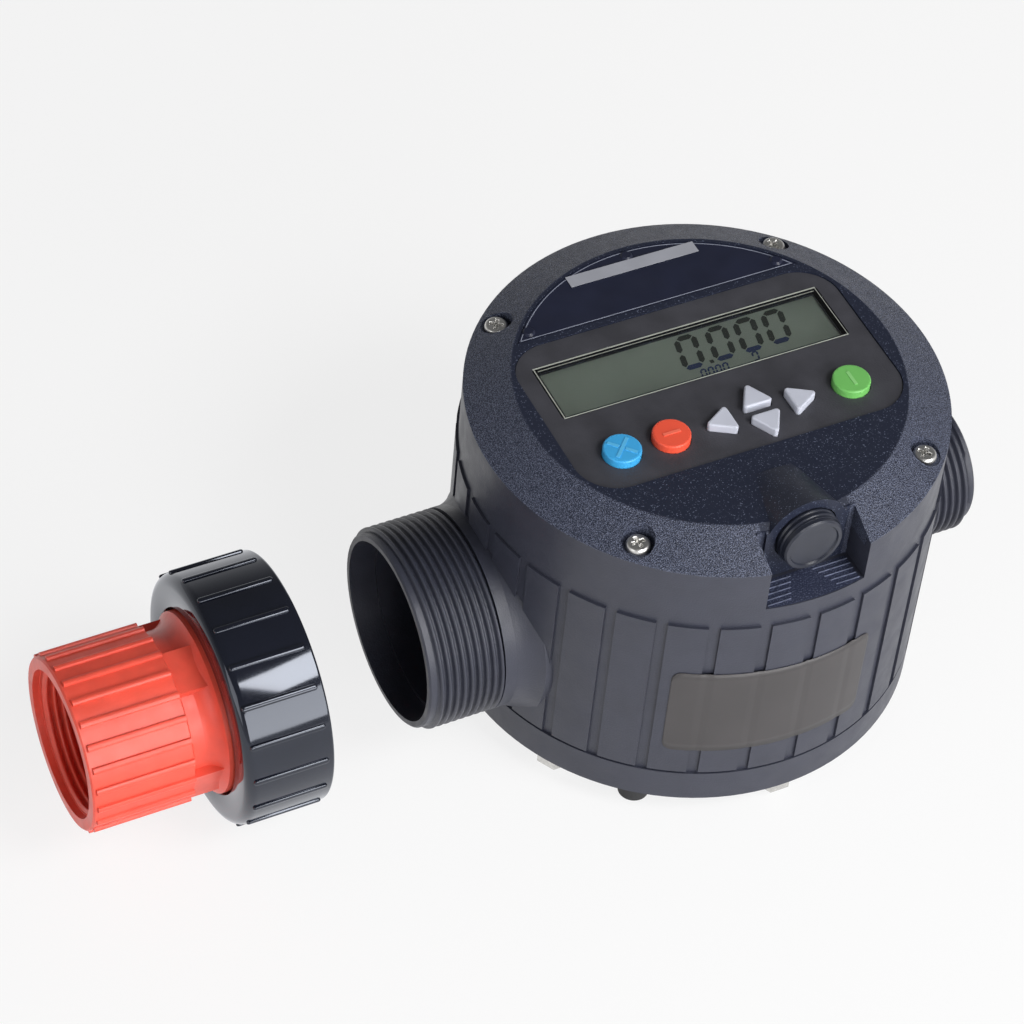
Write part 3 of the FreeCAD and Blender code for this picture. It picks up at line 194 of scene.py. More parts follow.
# name, colour, roughness, scale and depth of the grain, and share of the mottling
PLASTICS = {
    "housing": ("housing_black", (52, 54, 66), 0.43, 2000, 0.11, 0.06),
    "base": ("base_black", (96, 98, 111), 0.44, 1500, 0.05, 0.06),
    "panel": ("panel_grey", (64, 64, 70), 0.52, 1700, 0.10, 0.15),
    "plate": ("plate_navy", (30, 34, 54), 0.38, 1800, 0.02),
    "socket": ("socket_black", (38, 41, 52), 0.34, 1500, 0.03),
    "foot": ("foot_rubber", (40, 40, 42), 0.7, 1500, 0.05),
    "seal": ("seal_rubber", (28, 28, 29), 0.55, 1800, 0.03),
    "insert": ("insert_plastic", (226, 224, 216), 0.4, 1200, 0.03, 0.04),
    "rotor": ("rotor_plastic", (52, 92, 150), 0.35, 1200, 0.03),
    "sensor": ("sensor", (38, 38, 40), 0.4, 1200, 0.02),
    "mat": ("mat_grey", (150, 152, 156), 0.6, 1500, 0.03),
    "board": ("board_green", (32, 110, 70), 0.35, 700, 0.03, 0.2),
    "battery": ("battery_wrap", (60, 148, 116), 0.25, 300, 0.02),
    "key_blue": ("key_blue", (64, 170, 230), 0.36, 900, 0.02, 0.04),
    "key_red": ("key_red", (244, 90, 64), 0.36, 900, 0.02, 0.04),
    "key_green": ("key_green", (116, 192, 100), 0.36, 900, 0.02, 0.04),
    "key_grey": ("key_grey", (200, 203, 216), 0.4, 900, 0.03, 0.04),
    # the marks: the keys' own colours made lighter, a painted highlight on their raised relief
    "mark_blue": ("mark_blue", (92, 188, 238), 0.36, 900, 0.02, 0.04),
    "mark_red": ("mark_red", (250, 116, 92), 0.36, 900, 0.02, 0.04),
    "mark_green": ("mark_green", (142, 208, 128), 0.36, 900, 0.02, 0.04),
}
DULL = {"panel": {"Specular_IOR_Level": 0.35}, "plate": {"Specular_IOR_Level": 0.4}}
M = {key: plastic(*row, **DULL.get(key, {})) for key, row in PLASTICS.items()}
M["housing"].bump(2200, 0.035, 0.5, stretch=(0.03, 0.03, 1))
M["cover"] = cover_paint()
M["notch"] = Paint("notch_navy", srgb(40, 45, 66), 0.45)
M["notch"].link(M["notch"].speckled(2300, srgb(84, 90, 112), 0.50, 0.72), "Base Color")
M["notch"].uneven(300, 0.05).bump(1900, 0.16)
M["ridge"] = Paint("ridge_grey", srgb(104, 110, 132), 0.4).mottle(700, 0.3).bump(1500, 0.03, 0.5)
M["lcd"] = Paint("lcd_grey", srgb(143, 151, 144), 0.55).mottle(35, 0.07).bump(2500, 0.01, 0.3)
M["nut"] = Paint("nut_black", srgb(20, 22, 31), 0.10, Coat_Weight=0.5, Coat_Roughness=0.07,
                 Specular_Tint=(0.82, 0.88, 1.0, 1.0), Coat_Tint=(0.86, 0.9, 1.0, 1.0))
M["nut"].mottle(60, 0.12).uneven(40, 0.03).bump(90, 0.04, 0.22)
M["adapter"] = Paint("adapter_red", srgb(230, 84, 66), 0.38, Subsurface_Weight=0.12,
                     Subsurface_Scale=0.002)
M["adapter"].mottle(140, 0.07).uneven(200, 0.07).bump(420, 0.09, 0.5).bump(1500, 0.03, 0.4)
M["screw"] = Paint("screw_steel", (0.72, 0.71, 0.69), 0.36, 1.0).mottle(300, 0.05)
M["screw"].uneven(500, 0.04).bump(500, 0.01, 0.2)
M["steel"] = Paint("steel", (0.62, 0.61, 0.59), 0.26, 1.0)
M["steel"].mottle(700, 0.10).uneven(900, 0.08, (1, 8, 1)).bump(1600, 0.02, 0.4, (1, 9, 1))
M["brass"] = Paint("bearing_brass", (0.72, 0.52, 0.24), 0.28, 1.0).mottle(500, 0.1)
M["brass"].uneven(700, 0.06).bump(1500, 0.02, 0.3)
M["magnet"] = Paint("magnet", (0.14, 0.14, 0.15), 0.5, 0.6).mottle(400, 0.15).bump(900, 0.04, 0.4)
M["gold"] = Paint("contact_gold", (0.83, 0.62, 0.25), 0.22, 1.0).mottle(600, 0.06)
M["gold"].bump(1800, 0.01, 0.3)
M["glass"] = Paint("window_glass", (0.93, 0.96, 0.93), 0.03, Transmission_Weight=1.0, IOR=1.46)
M["glass"].mottle(40, 0.01).bump(60, 0.004, 0.2)
M["silver"] = Paint("bar_silver", srgb(188, 190, 200), 0.42, 0.35).mottle(120, 0.05)
M["silver"].bump(1200, 0.02, 0.4, (0.1, 1, 1))
# pale lines: a border on the name plate, and painted highlights on the rims of its pins
M["line"] = Paint("edge_line", srgb(150, 155, 172), 0.35).mottle(200, 0.1).bump(900, 0.01, 0.3)
# a pale paint for the painted highlights along the chamfered edges of the window pane
M["edge_highlight"] = Paint("window_edge_highlight", srgb(176, 180, 172), 0.25).mottle(150, 0.12)
M["edge_highlight"].bump(800, 0.01, 0.3)
M["label"] = Paint("label_grey", srgb(62, 59, 60), 0.42).mottle(60, 0.06).bump(900, 0.02, 0.3)
M["segment"] = Paint("segment_dark", srgb(44, 46, 46), 0.5).mottle(300, 0.15)
M["segment_blue"] = Paint("segment_blue", srgb(36, 50, 96), 0.5).mottle(300, 0.15)

# the paint of each node of the frame
USE = {
    "housing": "housing", "base_cover": "base", "base_bolts": "steel", "base_feet": "foot",
    "base_o_ring": "seal", "flow_straightener": "insert", "measuring_chamber": "insert",
    "chamber_o_ring": "seal", "chamber_lid": "insert", "lower_bearing": "brass",
    "upper_bearing": "brass", "turbine_rotor": "rotor", "rotor_shaft": "steel",
    "rotor_magnet": "magnet", "pickup_sensor": "sensor", "battery_holder": "sensor",
    "battery": "battery", "display_cover": "cover", "display_panel": "panel",
    "display_window": "glass", "name_plate": "plate", "name_plate_pins": "plate",
    "circuit_board": "board", "keypad_mat": "mat", "lcd_module": "lcd",
    "button_reset": "key_blue", "button_stop": "key_red", "button_start": "key_green",
    "key_left": "key_grey", "key_up": "key_grey", "key_down": "key_grey",
    "key_right": "key_grey", "cover_screws": "steel", "connector_socket": "socket",
    "connector_contacts": "gold", "connector_plug": "socket", "union_nut": "nut",
    "adapter": "adapter", "adapter_gasket": "seal",
}
for node, paint in USE.items():
    for place in NODES[node].material_slots:
        place.material = M[paint].mat


# ---------------------------------------------------------------- meshes
def piece(name, points, faces, body, paint, smooth=True, sharp=None):
    """Makes a mesh from points in millimetres. Edges above the sharp angle aren't smoothed."""
    mesh = bpy.data.meshes.new(name)
    mesh.from_pydata([Vector(p) * MM for p in points], [], faces)
    mesh.validate()
    mesh.update()
    if smooth:
        mesh.shade_smooth()
    if sharp:
        mesh.set_sharp_from_angle(angle=math.radians(sharp))
    made = link_object(bpy.data.objects.new(name, mesh))
    made.data.materials.append(M[paint].mat)
    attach(made, body)
    return made


def grid_faces(rows, columns, wrap=False):
    """Quads over rows of points, each row closed into a ring if it wraps."""
    faces = []
    for i in range(rows - 1):
        for j in range(columns if wrap else columns - 1):
            k = (j + 1) % columns
            faces.append((i * columns + j, i * columns + k, (i + 1) * columns + k,
                          (i + 1) * columns + j))
    return faces


def moved(faces, start):
    """The same faces on the points that begin at start."""
    return [tuple(start + k for k in face) for face in faces]


def tube_faces(rows, columns):
    """Quads round a tube, and a flat face at each end."""
    first = tuple(range(columns))
    return (grid_faces(rows, columns, wrap=True)
            + [first[::-1], tuple((rows - 1) * columns + k for k in first)])


def polar(radius, degrees, x=0.0, y=0.0):
    """The point at this radius and angle from x, y."""
    a = math.radians(degrees)
    return (x + radius * math.cos(a), y + radius * math.sin(a))


def quarter(steps):
    """Cosine and sine at equal steps over a quarter turn, with both ends."""
    return [polar(1.0, 90 * k / steps) for k in range(steps + 1)]


def around_union(x, radius, angle):
    """A point about the union's axis, with its angle in radians."""
    return (x, radius * math.cos(angle), UNION + radius * math.sin(angle))


def box(left, right, front, back):
    """The corners of a rectangle, anticlockwise."""
    return [(left, front), (right, front), (right, back), (left, back)]


def plate(name, outline, low, high, body, paint, slot):
    """A flat prism between two heights."""
    points = [(x, y, z) for z in (low, high) for x, y in outline]
    piece(name, points, tube_faces(2, len(outline)), body, paint, smooth=False)


# ---------------------------------------------------------------- threads
TURN_STEPS = 96               # places round one turn
THREAD_STEPS = 8              # steps across one ridge
THREAD_FLAT = 0.12            # share of a ridge's height that is cut off, above and below
THREAD_SINK = 0.03            # how far the foot of a ridge lies inside the wall


def thread(name, body, paint, slot, span, crest, root, phase=0.0, centre=(0, 0, PORT),
           axis=(1, 0, 0), pitch=PITCH):
    """One helical ridge of rounded section, cut square at both ends of its span."""
    low, high = span
    foot = root - math.copysign(THREAD_SINK, crest - root)
    shape = []
    for step in range(THREAD_STEPS + 1):
        u = step / THREAD_STEPS - 0.5
        wave = 0.5 + 0.5 * math.cos(2 * math.pi * u)
        share = min(1.0, max(0.0, (wave - THREAD_FLAT) / (1 - 2 * THREAD_FLAT)))
        shape.append((u * pitch, foot + (crest - foot) * share))
    along = Vector(axis).normalized()
    side = Vector((0, 1, 0)) if abs(along.x) > 0.5 else Vector((0, 0, 1))
    up = along.cross(side)
    first = math.floor((low - phase) / pitch) * TURN_STEPS - TURN_STEPS // 2
    last = math.ceil((high - phase) / pitch) * TURN_STEPS + TURN_STEPS // 2
    points = []
    for step in range(first, last + 1):
        angle = 2 * math.pi * step / TURN_STEPS
        middle = phase + pitch * step / TURN_STEPS
        out = side * math.cos(angle) + up * math.sin(angle)
        for shift, radius in shape:
            x = middle + shift
            if not low <= x <= high:
                x, radius = min(max(x, low), high), foot
            points.append(Vector(centre) + along * x + out * radius)
    piece(name, points, grid_faces(last - first + 1, len(shape)), body, paint)


# radii of the crest and of the root. Those of the nut and the adapter are inner threads
G2 = (29.807, 28.328)
G1_QUARTER = (20.955, 19.476)
NUT_BORE = 30.107
NUT_THREAD = (28.8, NUT_BORE)
ADAPTER_THREAD = (19.55, 20.955)
PLUG_THREAD = (9.2, 8.9)
thread("inlet_thread", "meter", "housing", "housing_black", (-92.6, -72.1), *G2)
thread("outlet_thread", "meter", "housing", "housing_black", (65.3, 83.7), *G1_QUARTER)
# half a pitch off the inlet's, so that the ridges lie in its grooves when the nut is seated
thread("nut_thread", "nut", "nut", "nut_black", (-148.0, -127.8), *NUT_THREAD,
       phase=PITCH / 2 - SEATED, centre=(0, 0, UNION))
thread("adapter_inner_thread", "adapter", "adapter", "adapter_red", (-190.8, -172.0),
       *ADAPTER_THREAD, centre=(0, 0, UNION))
thread("plug_thread", "plug", "socket", "socket_black", (55.2, 60.6), *PLUG_THREAD,
       centre=(0, 0, 95.2), axis=(0, -1, 0), pitch=1.6)

# ---------------------------------------------------------------- union nut
NUT_LEFT, NUT_RIGHT = -152.8, -126.8      # ends along x
NUT_SHELF = -148.2                        # inner face of the flange
NUT_BODY, NUT_HOLE, NUT_MOUTH = 36.5, 27.1, 30.6            # radii
NUT_ROUND, NUT_EDGE, NUT_BREAK = 3.2, 0.8, 0.5              # sizes of the rounded edges
NUT_WAIST = -140.0                        # a ring of points halfway along
AROUND = 240                              # points round the nut
profile = [(NUT_SHELF, NUT_HOLE), (NUT_LEFT + NUT_BREAK, NUT_HOLE),
           (NUT_LEFT + 0.3 * NUT_BREAK, NUT_HOLE + 0.3 * NUT_BREAK),
           (NUT_LEFT, NUT_HOLE + NUT_BREAK)]
profile += [(NUT_LEFT + NUT_ROUND * (1 - c), NUT_BODY - NUT_ROUND * (1 - s))
            for c, s in quarter(10)]
profile += [(NUT_WAIST, NUT_BODY)]
profile += [(NUT_RIGHT - NUT_EDGE * (1 - s), NUT_BODY - NUT_EDGE * (1 - c))
            for c, s in quarter(5)]
profile += [(NUT_RIGHT, NUT_MOUTH), (NUT_RIGHT - NUT_BREAK, NUT_BORE), (NUT_SHELF, NUT_BORE)]
points = [around_union(x, radius, 2 * math.pi * j / AROUND)
          for x, radius in profile for j in range(AROUND)]
faces = grid_faces(len(profile), AROUND, wrap=True)
last = (len(profile) - 1) * AROUND
faces += [(last + j, last + (j + 1) % AROUND, (j + 1) % AROUND, j) for j in range(AROUND)]

NUT_RIBS, RIB_PHASE = 20, 10.5            # how many, and the first one's angle
RIB_MIDDLE, RIB_HALF, RIB_WIDE = -139.8, 11.1, 0.9          # place, half length and half width
RIB_FOOT, RIB_SIDE = 36.2, 36.72          # radii between which the sides are straight
RIB_RISE, RIB_ROUND = 0.48, 0.7           # height and width of the rounding above them
RIB_STEPS = 28                            # points round a rib
levels = [(RIB_FOOT, 0.0)]                # radius, and how far the outline is drawn in
levels += [(RIB_SIDE + RIB_RISE * s, RIB_ROUND * (1 - c)) for c, s in quarter(6)]
for number in range(NUT_RIBS):
    middle = math.radians(RIB_PHASE + 360 / NUT_RIBS * number)
    start = len(points)
    for radius, inset in levels:
        w = RIB_WIDE - inset
        for j in range(RIB_STEPS):
            a = 2 * math.pi * j / RIB_STEPS
            along = math.copysign(RIB_HALF - RIB_WIDE, math.cos(a)) + w * math.cos(a)
            points.append(around_union(RIB_MIDDLE + along, radius,
                                       middle + w * math.sin(a) / radius))
    faces += moved(tube_faces(len(levels), RIB_STEPS), start)
nut = piece("union_nut_rounded", points, faces, "nut", "nut", sharp=50)
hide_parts("union_nut")

# ---------------------------------------------------------------- rounded ribs on the grip
GRIP_ENDS, GRIP_RIBS = (-191.75, -163.35), 24
# across the rib and out from the axis
GRIP_SHAPE = [(-1.02, 24.8), (-0.98, 25.35), (-0.88, 25.66), (-0.5, 25.87), (0.0, 25.94),
              (0.5, 25.87), (0.88, 25.66), (0.98, 25.35), (1.02, 24.8)]
points, faces = [], []
for number in range(GRIP_RIBS):
    middle = 2 * math.pi * number / GRIP_RIBS
    faces += moved(tube_faces(2, len(GRIP_SHAPE)), len(points))
    points += [around_union(x, radius, middle + across / radius)
               for x in GRIP_ENDS for across, radius in GRIP_SHAPE]
piece("adapter_grip_ribs", points, faces, "adapter", "adapter", sharp=40)

# ---------------------------------------------------------------- keys with rounded edges
KEY_FLANGE, KEY_SHOULDER, KEY_TOP = 96.6, 98.0, 103.0       # heights
KEY_ROUND, KEY_FLAT = 0.55, 0.25          # widths of the rounded rim and of a flat one inside it
KEY_RADIUS, KEY_LIP, KEY_ROW = 5.45, 1.1, -16.7             # round keys
KEY_STEPS = 72                            # points round one
ARROW_RADIUS, ARROW_LIP, ARROW_CORNER = 2.85, 0.8, 0.9      # arrow keys, to the middle of a side
# node: body, place along x, paint
ROUND_KEYS = {"button_reset": ("reset", -35.9, "key_blue"),
              "button_stop": ("stop", -20.8, "key_red"),
              "button_start": ("start", 35.5, "key_green")}
# node: body, place, the way that it points
ARROW_KEYS = {"key_left": ("left", -5.1, -17.3, 180), "key_up": ("up", 6.8, -12.85, 90),
              "key_down": ("down", 6.8, -21.75, 270), "key_right": ("right", 18.7, -17.3, 0)}


def disc(x, y, inset):
    return [polar(KEY_RADIUS - inset, 360 / KEY_STEPS * k, x, y) for k in range(KEY_STEPS)]


def arrow(x, y, heading, inset):
    """A triangle whose corners are arcs of 120 degrees, with a point every 10."""
    corner = ARROW_CORNER - max(inset, 0.0)
    away = 2 * (ARROW_RADIUS - inset - corner)
    return [polar(corner, tip + 10 * k, *polar(away, tip, x, y))
            for tip in (heading, heading + 120, heading + 240) for k in range(-6, 7)]


def key_cap(node, body, paint, lip, outline):
    """A cap on a flange that is wider than its outline by the lip."""
    steps = [(KEY_FLANGE, -lip), (KEY_SHOULDER, -lip), (KEY_SHOULDER, 0.0)]
    steps += [(KEY_TOP - KEY_ROUND * (1 - s), KEY_ROUND * (1 - c)) for c, s in quarter(6)]
    steps += [(KEY_TOP, KEY_ROUND + KEY_FLAT)]
    points = [(x, y, z) for z, inset in steps for x, y in outline(inset)]
    faces = tube_faces(len(steps), len(points) // len(steps))
    cap = piece(node + "_cap", points, faces, body, paint, sharp=40)
    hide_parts(node)


for node, (body, x, paint) in ROUND_KEYS.items():
    key_cap(node, body, paint, KEY_LIP, lambda inset: disc(x, KEY_ROW, inset))
for node, (body, x, y, heading) in ARROW_KEYS.items():
    key_cap(node, body, "key_grey", ARROW_LIP, lambda inset: arrow(x, y, heading, inset))

# ---------------------------------------------------------------- cover screws
SCREW_CIRCLE, SCREW_SEAT = 62.7, 94.9     # radius of their circle, height under the heads
HEAD_RADIUS, HEAD_TOP, HEAD_CROWN = 3.4, 2.0, 0.0125        # the crown falls by this times r * r
BROW, BROW_TOP, BROW_DROP = 2.5, 1.92, 1.25                 # the edge: from where, and how high
CROSS_LONG, CROSS_WIDE = 2.1, 0.6         # half sizes of each slot of the cross
CROSS_END, CROSS_WALL = 0.7, 0.14         # how wide its sloped ends and walls are
CROSS_TOP, CROSS_DEEP = 1.95, 1.7         # height of its edge, and depth of its floor
SHANK_RADIUS, SHANK_LONG, SHANK_TIP = 2.0, 18.0, 18.6
RINGS, SPOKES = 34, 96                    # points over a head


def head_height(x, y, turn):
    """Height of the head's face over its seat, with the cross turned by this many radians."""
    r = math.hypot(x, y)
    height = HEAD_TOP - HEAD_CROWN * r * r
    if r > BROW:
        t = min(1.0, (r - BROW) / (HEAD_RADIUS - BROW))
        height = BROW_TOP - BROW_DROP * (1 - math.sqrt(max(0.0, 1 - t * t)))
    a = x * math.cos(turn) + y * math.sin(turn)
    b = -x * math.sin(turn) + y * math.cos(turn)
    for u, v in ((abs(a), abs(b)), (abs(b), abs(a))):
        if u < CROSS_LONG and v < CROSS_WIDE:
            across = min(1.0, (CROSS_WIDE - v) / CROSS_WALL)
            along = min(1.0, (CROSS_LONG - u) / CROSS_END)
            height = min(height, CROSS_TOP - CROSS_DEEP * across * along)
    return height


points, faces = [], []
for number, direction in enumerate((45, 135, 225, 315)):
    cx, cy = polar(SCREW_CIRCLE, direction)
    turn = math.radians(20 + 37 * number)         # no two screws stand alike
    start = len(points)
    spokes = [2 * math.pi * j / SPOKES for j in range(SPOKES)]
    for i in range(RINGS + 1):
        r = HEAD_RADIUS * i / RINGS
        for a in spokes:
            x, y = r * math.cos(a), r * math.sin(a)
            points.append((cx + x, cy + y, SCREW_SEAT + head_height(x, y, turn)))
    for r, drop in ((HEAD_RADIUS, 0.0), (SHANK_RADIUS, 0.0), (SHANK_RADIUS, SHANK_LONG),
                    (0.0, SHANK_TIP)):
        points += [(cx + r * math.cos(a), cy + r * math.sin(a), SCREW_SEAT - drop)
                   for a in spokes]
    faces += moved(grid_faces(RINGS + 5, SPOKES, wrap=True), start)
screws = piece("cover_screws_crossed", points, faces, "meter", "screw")
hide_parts("cover_screws")

# ---------------------------------------------------------------- display
LCD_TOP = 97.8
INK = (LCD_TOP + 0.002, LCD_TOP + 0.03)   # heights of the segments
SLANT = 0.2
# the ends of each segment's middle line, and whether it stands upright
SEGMENTS = {
    "a": ((1.9, 11.6), (4.9, 11.6), False), "d": ((1.5, 0.5), (4.9, 0.5), False),
    "f": ((0.7, 7.4), (0.7, 10.4), True), "e": ((0.7, 1.9), (0.7, 4.9), True),
    "b": ((6.0, 7.4), (6.0, 10.4), True), "c": ((6.0, 1.9), (6.0, 4.9), True),
}


def segment(start, end, upright, width):
    (x0, y0), (x1, y1) = start, end
    h = width / 2
    if upright:
        return [(x0, y0 - h), (x0 + h, y0), (x1 + h, y1), (x1, y1 + h), (x1 - h, y1), (x0 - h, y0)]
    return [(x0 - h, y0), (x0, y0 - h), (x1, y1 - h), (x1 + h, y1), (x1, y1 + h), (x0, y0 + h)]


def digit(name, left, bottom, scale, width, paint, letters="abcdef"):
    """Generic segments. The lowest one of a large digit is blue."""
    for letter in letters:
        start, end, upright = SEGMENTS[letter]
        shape = [(left + scale * (x + SLANT * y), bottom + scale * y)
                 for x, y in segment(start, end, upright, width)]
        ink = "segment_blue" if paint == "segment" and letter == "d" else paint
        plate("%s_%s" % (name, letter), shape, *INK, "meter", ink, "lcd_grey")


for number, left in enumerate((-4.1, 5.6, 14.6, 23.5)):
    digit("digit_%d" % number, left, 6.8, 1.0, 1.8, "segment")
plate("digit_point", box(4.0, 5.2, 6.6, 7.8), *INK, "meter", "segment", "lcd_grey")
for number, left in enumerate((-0.8, 1.5, 3.8, 6.1)):
    digit("small_digit_%d" % number, left, 2.3, 0.26, 2.2, "segment_blue")
digit("small_mark", 15.8, 2.9, 0.28, 2.2, "segment_blue", "abcdf")


# ---------------------------------------------------------------- lines on the plate, and painted highlights on the pins and along the window's edges
def ribbon(name, path, width, level, rise, paint):
    """A thin flat line to the left of a path, from just under a face to a little above it."""
    inner = []
    for k, (x, y) in enumerate(path):
        x0, y0 = path[max(k - 1, 0)]
        x1, y1 = path[min(k + 1, len(path) - 1)]
        size = math.hypot(x1 - x0, y1 - y0)
        inner.append((x - (y1 - y0) / size * width, y + (x1 - x0) / size * width))
    count = len(path)
    points = [(x, y, z) for z in (level - 0.01, level + rise)
              for line in (path, inner) for x, y in line]
    faces = []
    for k in range(count - 1):
        a, b, c, d = k, k + 1, count + k + 1, count + k
        faces += [(d, c, b, a), tuple(2 * count + i for i in (a, b, c, d)),
                  (a, b, 2 * count + b, 2 * count + a), (c, d, 2 * count + d, 2 * count + c)]
    faces += [(0, 2 * count, 3 * count, count),
              (count - 1, 2 * count - 1, 4 * count - 1, 3 * count - 1)]
    piece(name, points, faces, "meter", paint, smooth=False)


BAR = (100.98, 101.06)                    # heights of the silver bar
PLATE_TOP, PLATE_EDGE, PLATE_FRONT = 100.8, 53.7, 31.9      # height, radius, and front along y
PIN_RING = 1.75                           # radius of the painted highlight round the rim of a pin
ARC_STEPS, PIN_STEPS, LINE = 80, 30, 0.22 # steps along the lines, and their width
plate("plate_bar", box(-20.3, 20.3, 46.0, 50.3), *BAR, "meter", "silver", "plate_navy")
lowest = math.degrees(math.asin(PLATE_FRONT / PLATE_EDGE))
arc = [polar(PLATE_EDGE, lowest + (180 - 2 * lowest) * k / ARC_STEPS)
       for k in range(ARC_STEPS + 1)]
ribbon("plate_line_arc", arc, LINE, PLATE_TOP, 0.04, "line")
half = PLATE_EDGE * math.cos(math.radians(lowest))
ribbon("plate_line_front", [(-half, PLATE_FRONT), (half, PLATE_FRONT)], 0.25, PLATE_TOP, 0.04,
       "line")
# a pale ring on the rim of each pin, a painted highlight
for number, (x, y) in enumerate(((0, 52.0), (-39.3, 34.6), (39.3, 34.6))):
    circle = [polar(PIN_RING, 360 / PIN_STEPS * k, x, y) for k in range(PIN_STEPS + 1)]
    ribbon("pin_rim_highlight_%d" % number, circle, LINE, PLATE_TOP, 0.05, "line")
PANE_TOP = 100.6
# painted highlights: pale lines on top of the pane, along its chamfered edges
for name, path, width in (
        ("window_line_back", [(-44.6, 20.75), (44.6, 20.75)], 0.45),
        ("window_line_inner", [(-43.6, 19.7), (43.6, 19.7)], 0.2),
        ("window_line_front", [(-44.6, 0.75), (44.6, 0.75)], 0.35),
        ("window_line_left", [(-44.25, 1.1), (-44.25, 20.7)], 0.3),
        ("window_line_right", [(44.5, 1.1), (44.5, 20.7)], 0.2)):
    ribbon(name, path, width, PANE_TOP, 0.03, "edge_highlight")

# ---------------------------------------------------------------- bare label on the drum
LABEL_FROM, LABEL_TO, LABEL_LOW, LABEL_HIGH = -122.0, -72.0, 22.2, 55.2     # angles, heights
LABEL_RADIUS, LABEL_LIFT, LABEL_CORNER = 69.2, 0.02, 3.0
LABEL_THICK = 0.08
GAP_STEP = 12.0                           # between the gaps in the drum's ring of pads
DIP, DIP_REACH = 0.16, 2.0                # the label sags into each gap by this, over this far
ROWS, COLUMNS = 12, 180
points = []
for i in range(ROWS + 1):
    v = i / ROWS
    for j in range(COLUMNS + 1):
        u = j / COLUMNS
        angle = LABEL_FROM + (LABEL_TO - LABEL_FROM) * u
        gap = ((angle - 90.0) / GAP_STEP) % 1.0
        near = min(gap, 1 - gap) * math.radians(GAP_STEP) * LABEL_RADIUS
        radius = LABEL_RADIUS + LABEL_LIFT - DIP * max(0.0, 1 - near / DIP_REACH)
        reach = min(u, 1 - u) * math.radians(LABEL_TO - LABEL_FROM) * LABEL_RADIUS
        into = max(0.0, LABEL_CORNER - reach)
        trim = LABEL_CORNER - math.sqrt(LABEL_CORNER ** 2 - into ** 2)
        z = LABEL_LOW + trim + (LABEL_HIGH - LABEL_LOW - 2 * trim) * v
        points.append((*polar(radius, angle), z))
label = piece("side_label", points, grid_faces(ROWS + 1, COLUMNS + 1), "meter", "label")
thick = label.modifiers.new("thickness", "SOLIDIFY")
thick.thickness = LABEL_THICK * MM
thick.offset = 1.0

# ---------------------------------------------------------------- raised marks on the keys, in lighter tones of the keys' colours as painted highlight
MARK = (KEY_TOP - 0.02, KEY_TOP + 0.16)   # heights
MARK_WIDE = 1.0
for name, x, y, turn, length, body, colour in (
        ("reset_mark_a", -35.9, -16.7, 45, 8.0, "reset", "blue"),
        ("reset_mark_b", -34.0, -18.6, 135, 3.4, "reset", "blue"),
        ("reset_mark_c", -37.8, -14.8, 135, 3.4, "reset", "blue"),
        ("stop_mark", -20.8, -16.7, 0, 5.2, "stop", "red"),
        ("start_mark", 35.5, -16.7, 90, 5.2, "start", "green")):
    c, s = math.cos(math.radians(turn)), math.sin(math.radians(turn))
    shape = [(x + c * a - s * b, y + s * a + c * b)
             for a, b in box(-length / 2, length / 2, -MARK_WIDE / 2, MARK_WIDE / 2)]
    plate(name, shape, *MARK, body, "mark_" + colour, "key_" + colour)

# ---------------------------------------------------------------- floor of the connector notch
FLOOR = 80.4
NOTCH_HALF, NOTCH_BACK, NOTCH_RIM = 14.2, -57.4, 67.9       # half width, back, radius in front
NOTCH_STEPS = 12                          # points along each half of the front
RIDGE_RIM, RIDGE_HALF = 67.6, 0.11        # radius where a ridge ends, and half of its width
turn = math.degrees(math.asin(NOTCH_HALF / NOTCH_RIM))
outline = [(-NOTCH_HALF, NOTCH_BACK)]
outline += [polar(NOTCH_RIM, turn * k / NOTCH_STEPS - 90)
            for k in range(-NOTCH_STEPS, NOTCH_STEPS + 1)]
outline += [(NOTCH_HALF, NOTCH_BACK)]
plate("notch_floor", outline, FLOOR - 0.02, FLOOR + 0.05, "meter", "notch", "housing_black")
for number, y in enumerate((-58.6, -60.4, -62.2, -64.0, -65.8)):
    reach = min(NOTCH_HALF, math.sqrt(max(0.0, RIDGE_RIM ** 2 - y * y)))
    inner = 3.4 + 0.9 * number            # the ridges leave room for the plug
    for side, low, high in (("l", -reach, -inner), ("r", inner, reach)):
        plate("notch_ridge_%d_%s" % (number, side), box(low, high, y - RIDGE_HALF, y + RIDGE_HALF),
              FLOOR + 0.03, FLOOR + 0.3, "meter", "ridge", "housing_black")

# ---------------------------------------------------------------- stage
WHITE = (1, 1, 1, 1)
floor_mesh = bpy.data.meshes.new("floor")
floor_mesh.from_pydata([(x, y, BENCH * MM) for x, y in box(-40.0, 40.0, -40.0, 40.0)], [],
                       [(0, 1, 2, 3)])
floor = link_object(bpy.data.objects.new("floor", floor_mesh))
# a white floor that shades softly, and that glows for the camera, mirrors and glass
white = bpy.data.materials.new("floor_white")
white.use_nodes = True
tree = white.node_tree
tree.nodes.clear()
FLOOR_GLOW = 0.80                         # share of the glow
diffuse = put(tree, "ShaderNodeBsdfDiffuse", {"Color": (0.86, 0.86, 0.86, 1)})
glow = put(tree, "ShaderNodeEmission", {"Color": WHITE, "Strength": 1.0})
ray = put(tree, "ShaderNodeLightPath").outputs
seen = maths(tree, "MAXIMUM", ray["Is Camera Ray"], ray["Is Glossy Ray"])
seen = maths(tree, "MAXIMUM", seen, ray["Is Transmission Ray"])
share = maths(tree, "MULTIPLY", seen, FLOOR_GLOW)
blend = put(tree, "ShaderNodeMixShader", {0: share, 1: diffuse.outputs[0], 2: glow.outputs[0]})
put(tree, "ShaderNodeOutputMaterial", {0: blend.outputs[0]})
floor.data.materials.append(white)

